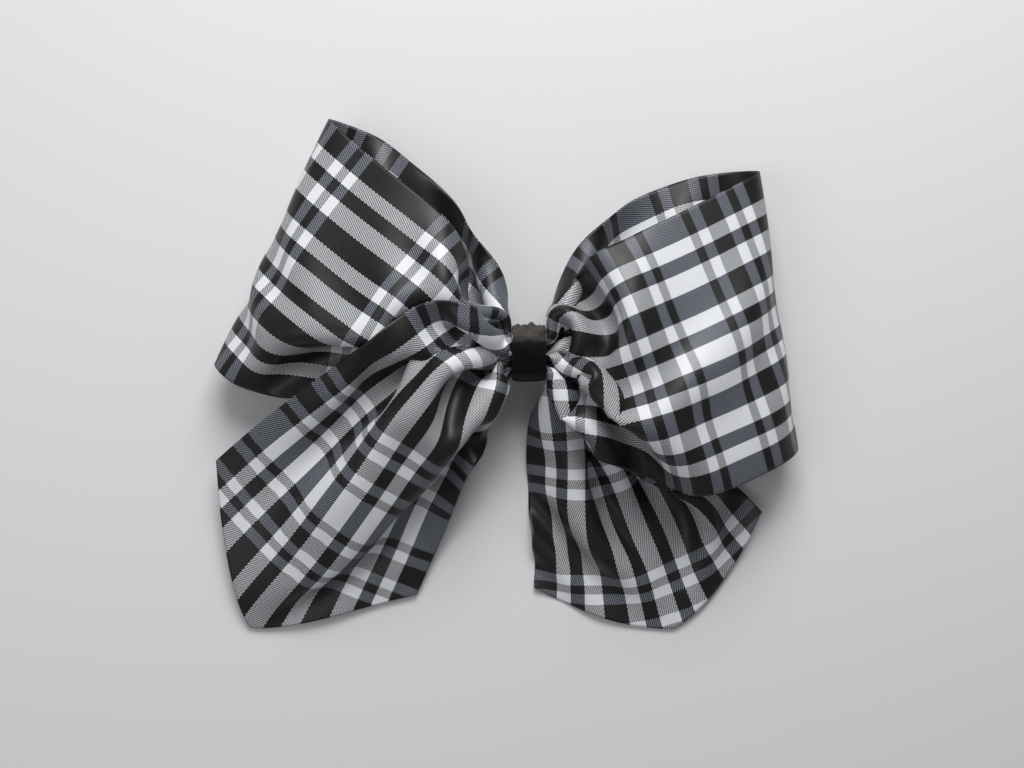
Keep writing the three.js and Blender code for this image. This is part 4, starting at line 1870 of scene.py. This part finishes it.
@dataclass(frozen=True)
class TableFinish:
    """A plain pale table, faintly clouded.

    Attributes:
        pale: The paint.
        cloudy: The clouds in it.
    """

    pale: tuple[float, ...] = (0.80, 0.80, 0.80, 1)
    cloudy: tuple[float, ...] = (0.76, 0.76, 0.76, 1)

    def material(self) -> bpy.types.Material:
        """Builds the paint.

        Returns:
            The finished material.
        """
        graph = Graph("table")
        place = graph.node("TexCoord").outputs["Object"]
        cloud = graph.node("TexNoise", inputs={"Vector": place, "Scale": 6.0, "Detail": 2.0})
        colour = blend(graph, Number(graph, cloud.outputs[0]) * 0.3, self.pale, self.cloudy)
        surface = graph.node("BsdfPrincipled", inputs={"Base Color": colour, "Roughness": 0.9})
        return graph.finish(surface.outputs[0])


class Studio:
    """A pale table, soft light from the top of the bow, and the camera above."""

    def __init__(self, sizes: StudioSizes, finish: TableFinish) -> None:
        """Keeps the sizes and the table's finish."""
        self.sizes = sizes
        self.material = finish.material()

    def build(self) -> None:
        """Sets the table, the lights, the sky and the camera."""
        reach = self.sizes.table
        corners = reach * np.array([[-1, -1, 0], [1, -1, 0], [1, 1, 0], [-1, 1, 0]])
        make_piece("table", corners, [[0, 1, 2, 3]], self.material)
        for lamp in self.sizes.lamps:
            self.hang(lamp)
        world = bpy.data.worlds.new("sky")
        world.use_nodes = True
        sky = world.node_tree.nodes["Background"].inputs
        sky["Color"].default_value = self.sizes.sky
        sky["Strength"].default_value = self.sizes.sky_power
        bpy.context.scene.world = world
        bpy.context.scene.view_settings.view_transform = "Standard"
        self.camera()

    def hang(self, lamp: Lamp) -> None:
        """Hangs one light.

        Args:
            lamp: The light.
        """
        data = bpy.data.lights.new(lamp.name, "AREA")
        data.size = lamp.side * MM
        data.energy = lamp.power
        light = bpy.data.objects.new(lamp.name, data)
        place = Vector(lamp.place) * MM
        light.location = place
        light.rotation_euler = (-place).to_track_quat("-Z", "Y").to_euler()
        bpy.context.scene.collection.objects.link(light)

    def camera(self) -> None:
        """Stands the camera above the bow, leaning a little towards its foot."""
        size = self.sizes
        data = bpy.data.cameras.new("camera")
        data.lens = size.lens
        camera = bpy.data.objects.new("camera", data)
        aim = (Vector(size.aim) + Vector(KNOT)) * MM
        turn = Matrix.Rotation(float(np.radians(90 - size.elevation)), 4, "X")
        back = Matrix.Translation((0, 0, size.distance * MM))
        camera.matrix_world = Matrix.Translation(aim) @ turn @ back
        bpy.context.scene.collection.objects.link(camera)
        bpy.context.scene.camera = camera


def main() -> None:
    """Builds the bow from the ribbon inwards, then the clip and the studio."""
    logging.basicConfig(level=logging.INFO, format="%(name)s: %(message)s")
    ribbon = Ribbon((RIGHT_TAIL, LEFT_LOOP, RIGHT_LOOP, LEFT_TAIL), PlaidFinish())
    ribbon.settle()
    for piece in ribbon.build():
        LOG.info("built %s", piece.name)
    layers = tuple(zip(
        (LEFT_TAIL.roots[0], LEFT_LOOP.roots[0], LEFT_LOOP.roots[1]),
        (RIGHT_LOOP.roots[0], RIGHT_LOOP.roots[1], RIGHT_TAIL.roots[0]),
    ))
    gather = GatherSizes()
    steel = MetalFinish("spring steel", (0.48, 0.48, 0.49, 1), 0.22, 0.42)
    nickel = MetalFinish("nickel plate", (0.72, 0.71, 0.69, 1), 0.16, 0.34)
    parts = (
        GatheredCentre(gather, layers, PlaidFinish()),
        BindingThread(ThreadSizes(), gather, ThreadFinish()),
        CentreWrap(WrapSizes(), VelvetFinish()),
        TorsionSpring(SpringSizes(), steel),
    )
    for part in parts:
        LOG.info("built %s", part.build().name)
    Clip(nickel, GlueFinish()).dress()
    Studio(StudioSizes(), TableFinish()).build()


if __name__ == "__main__":
    main()
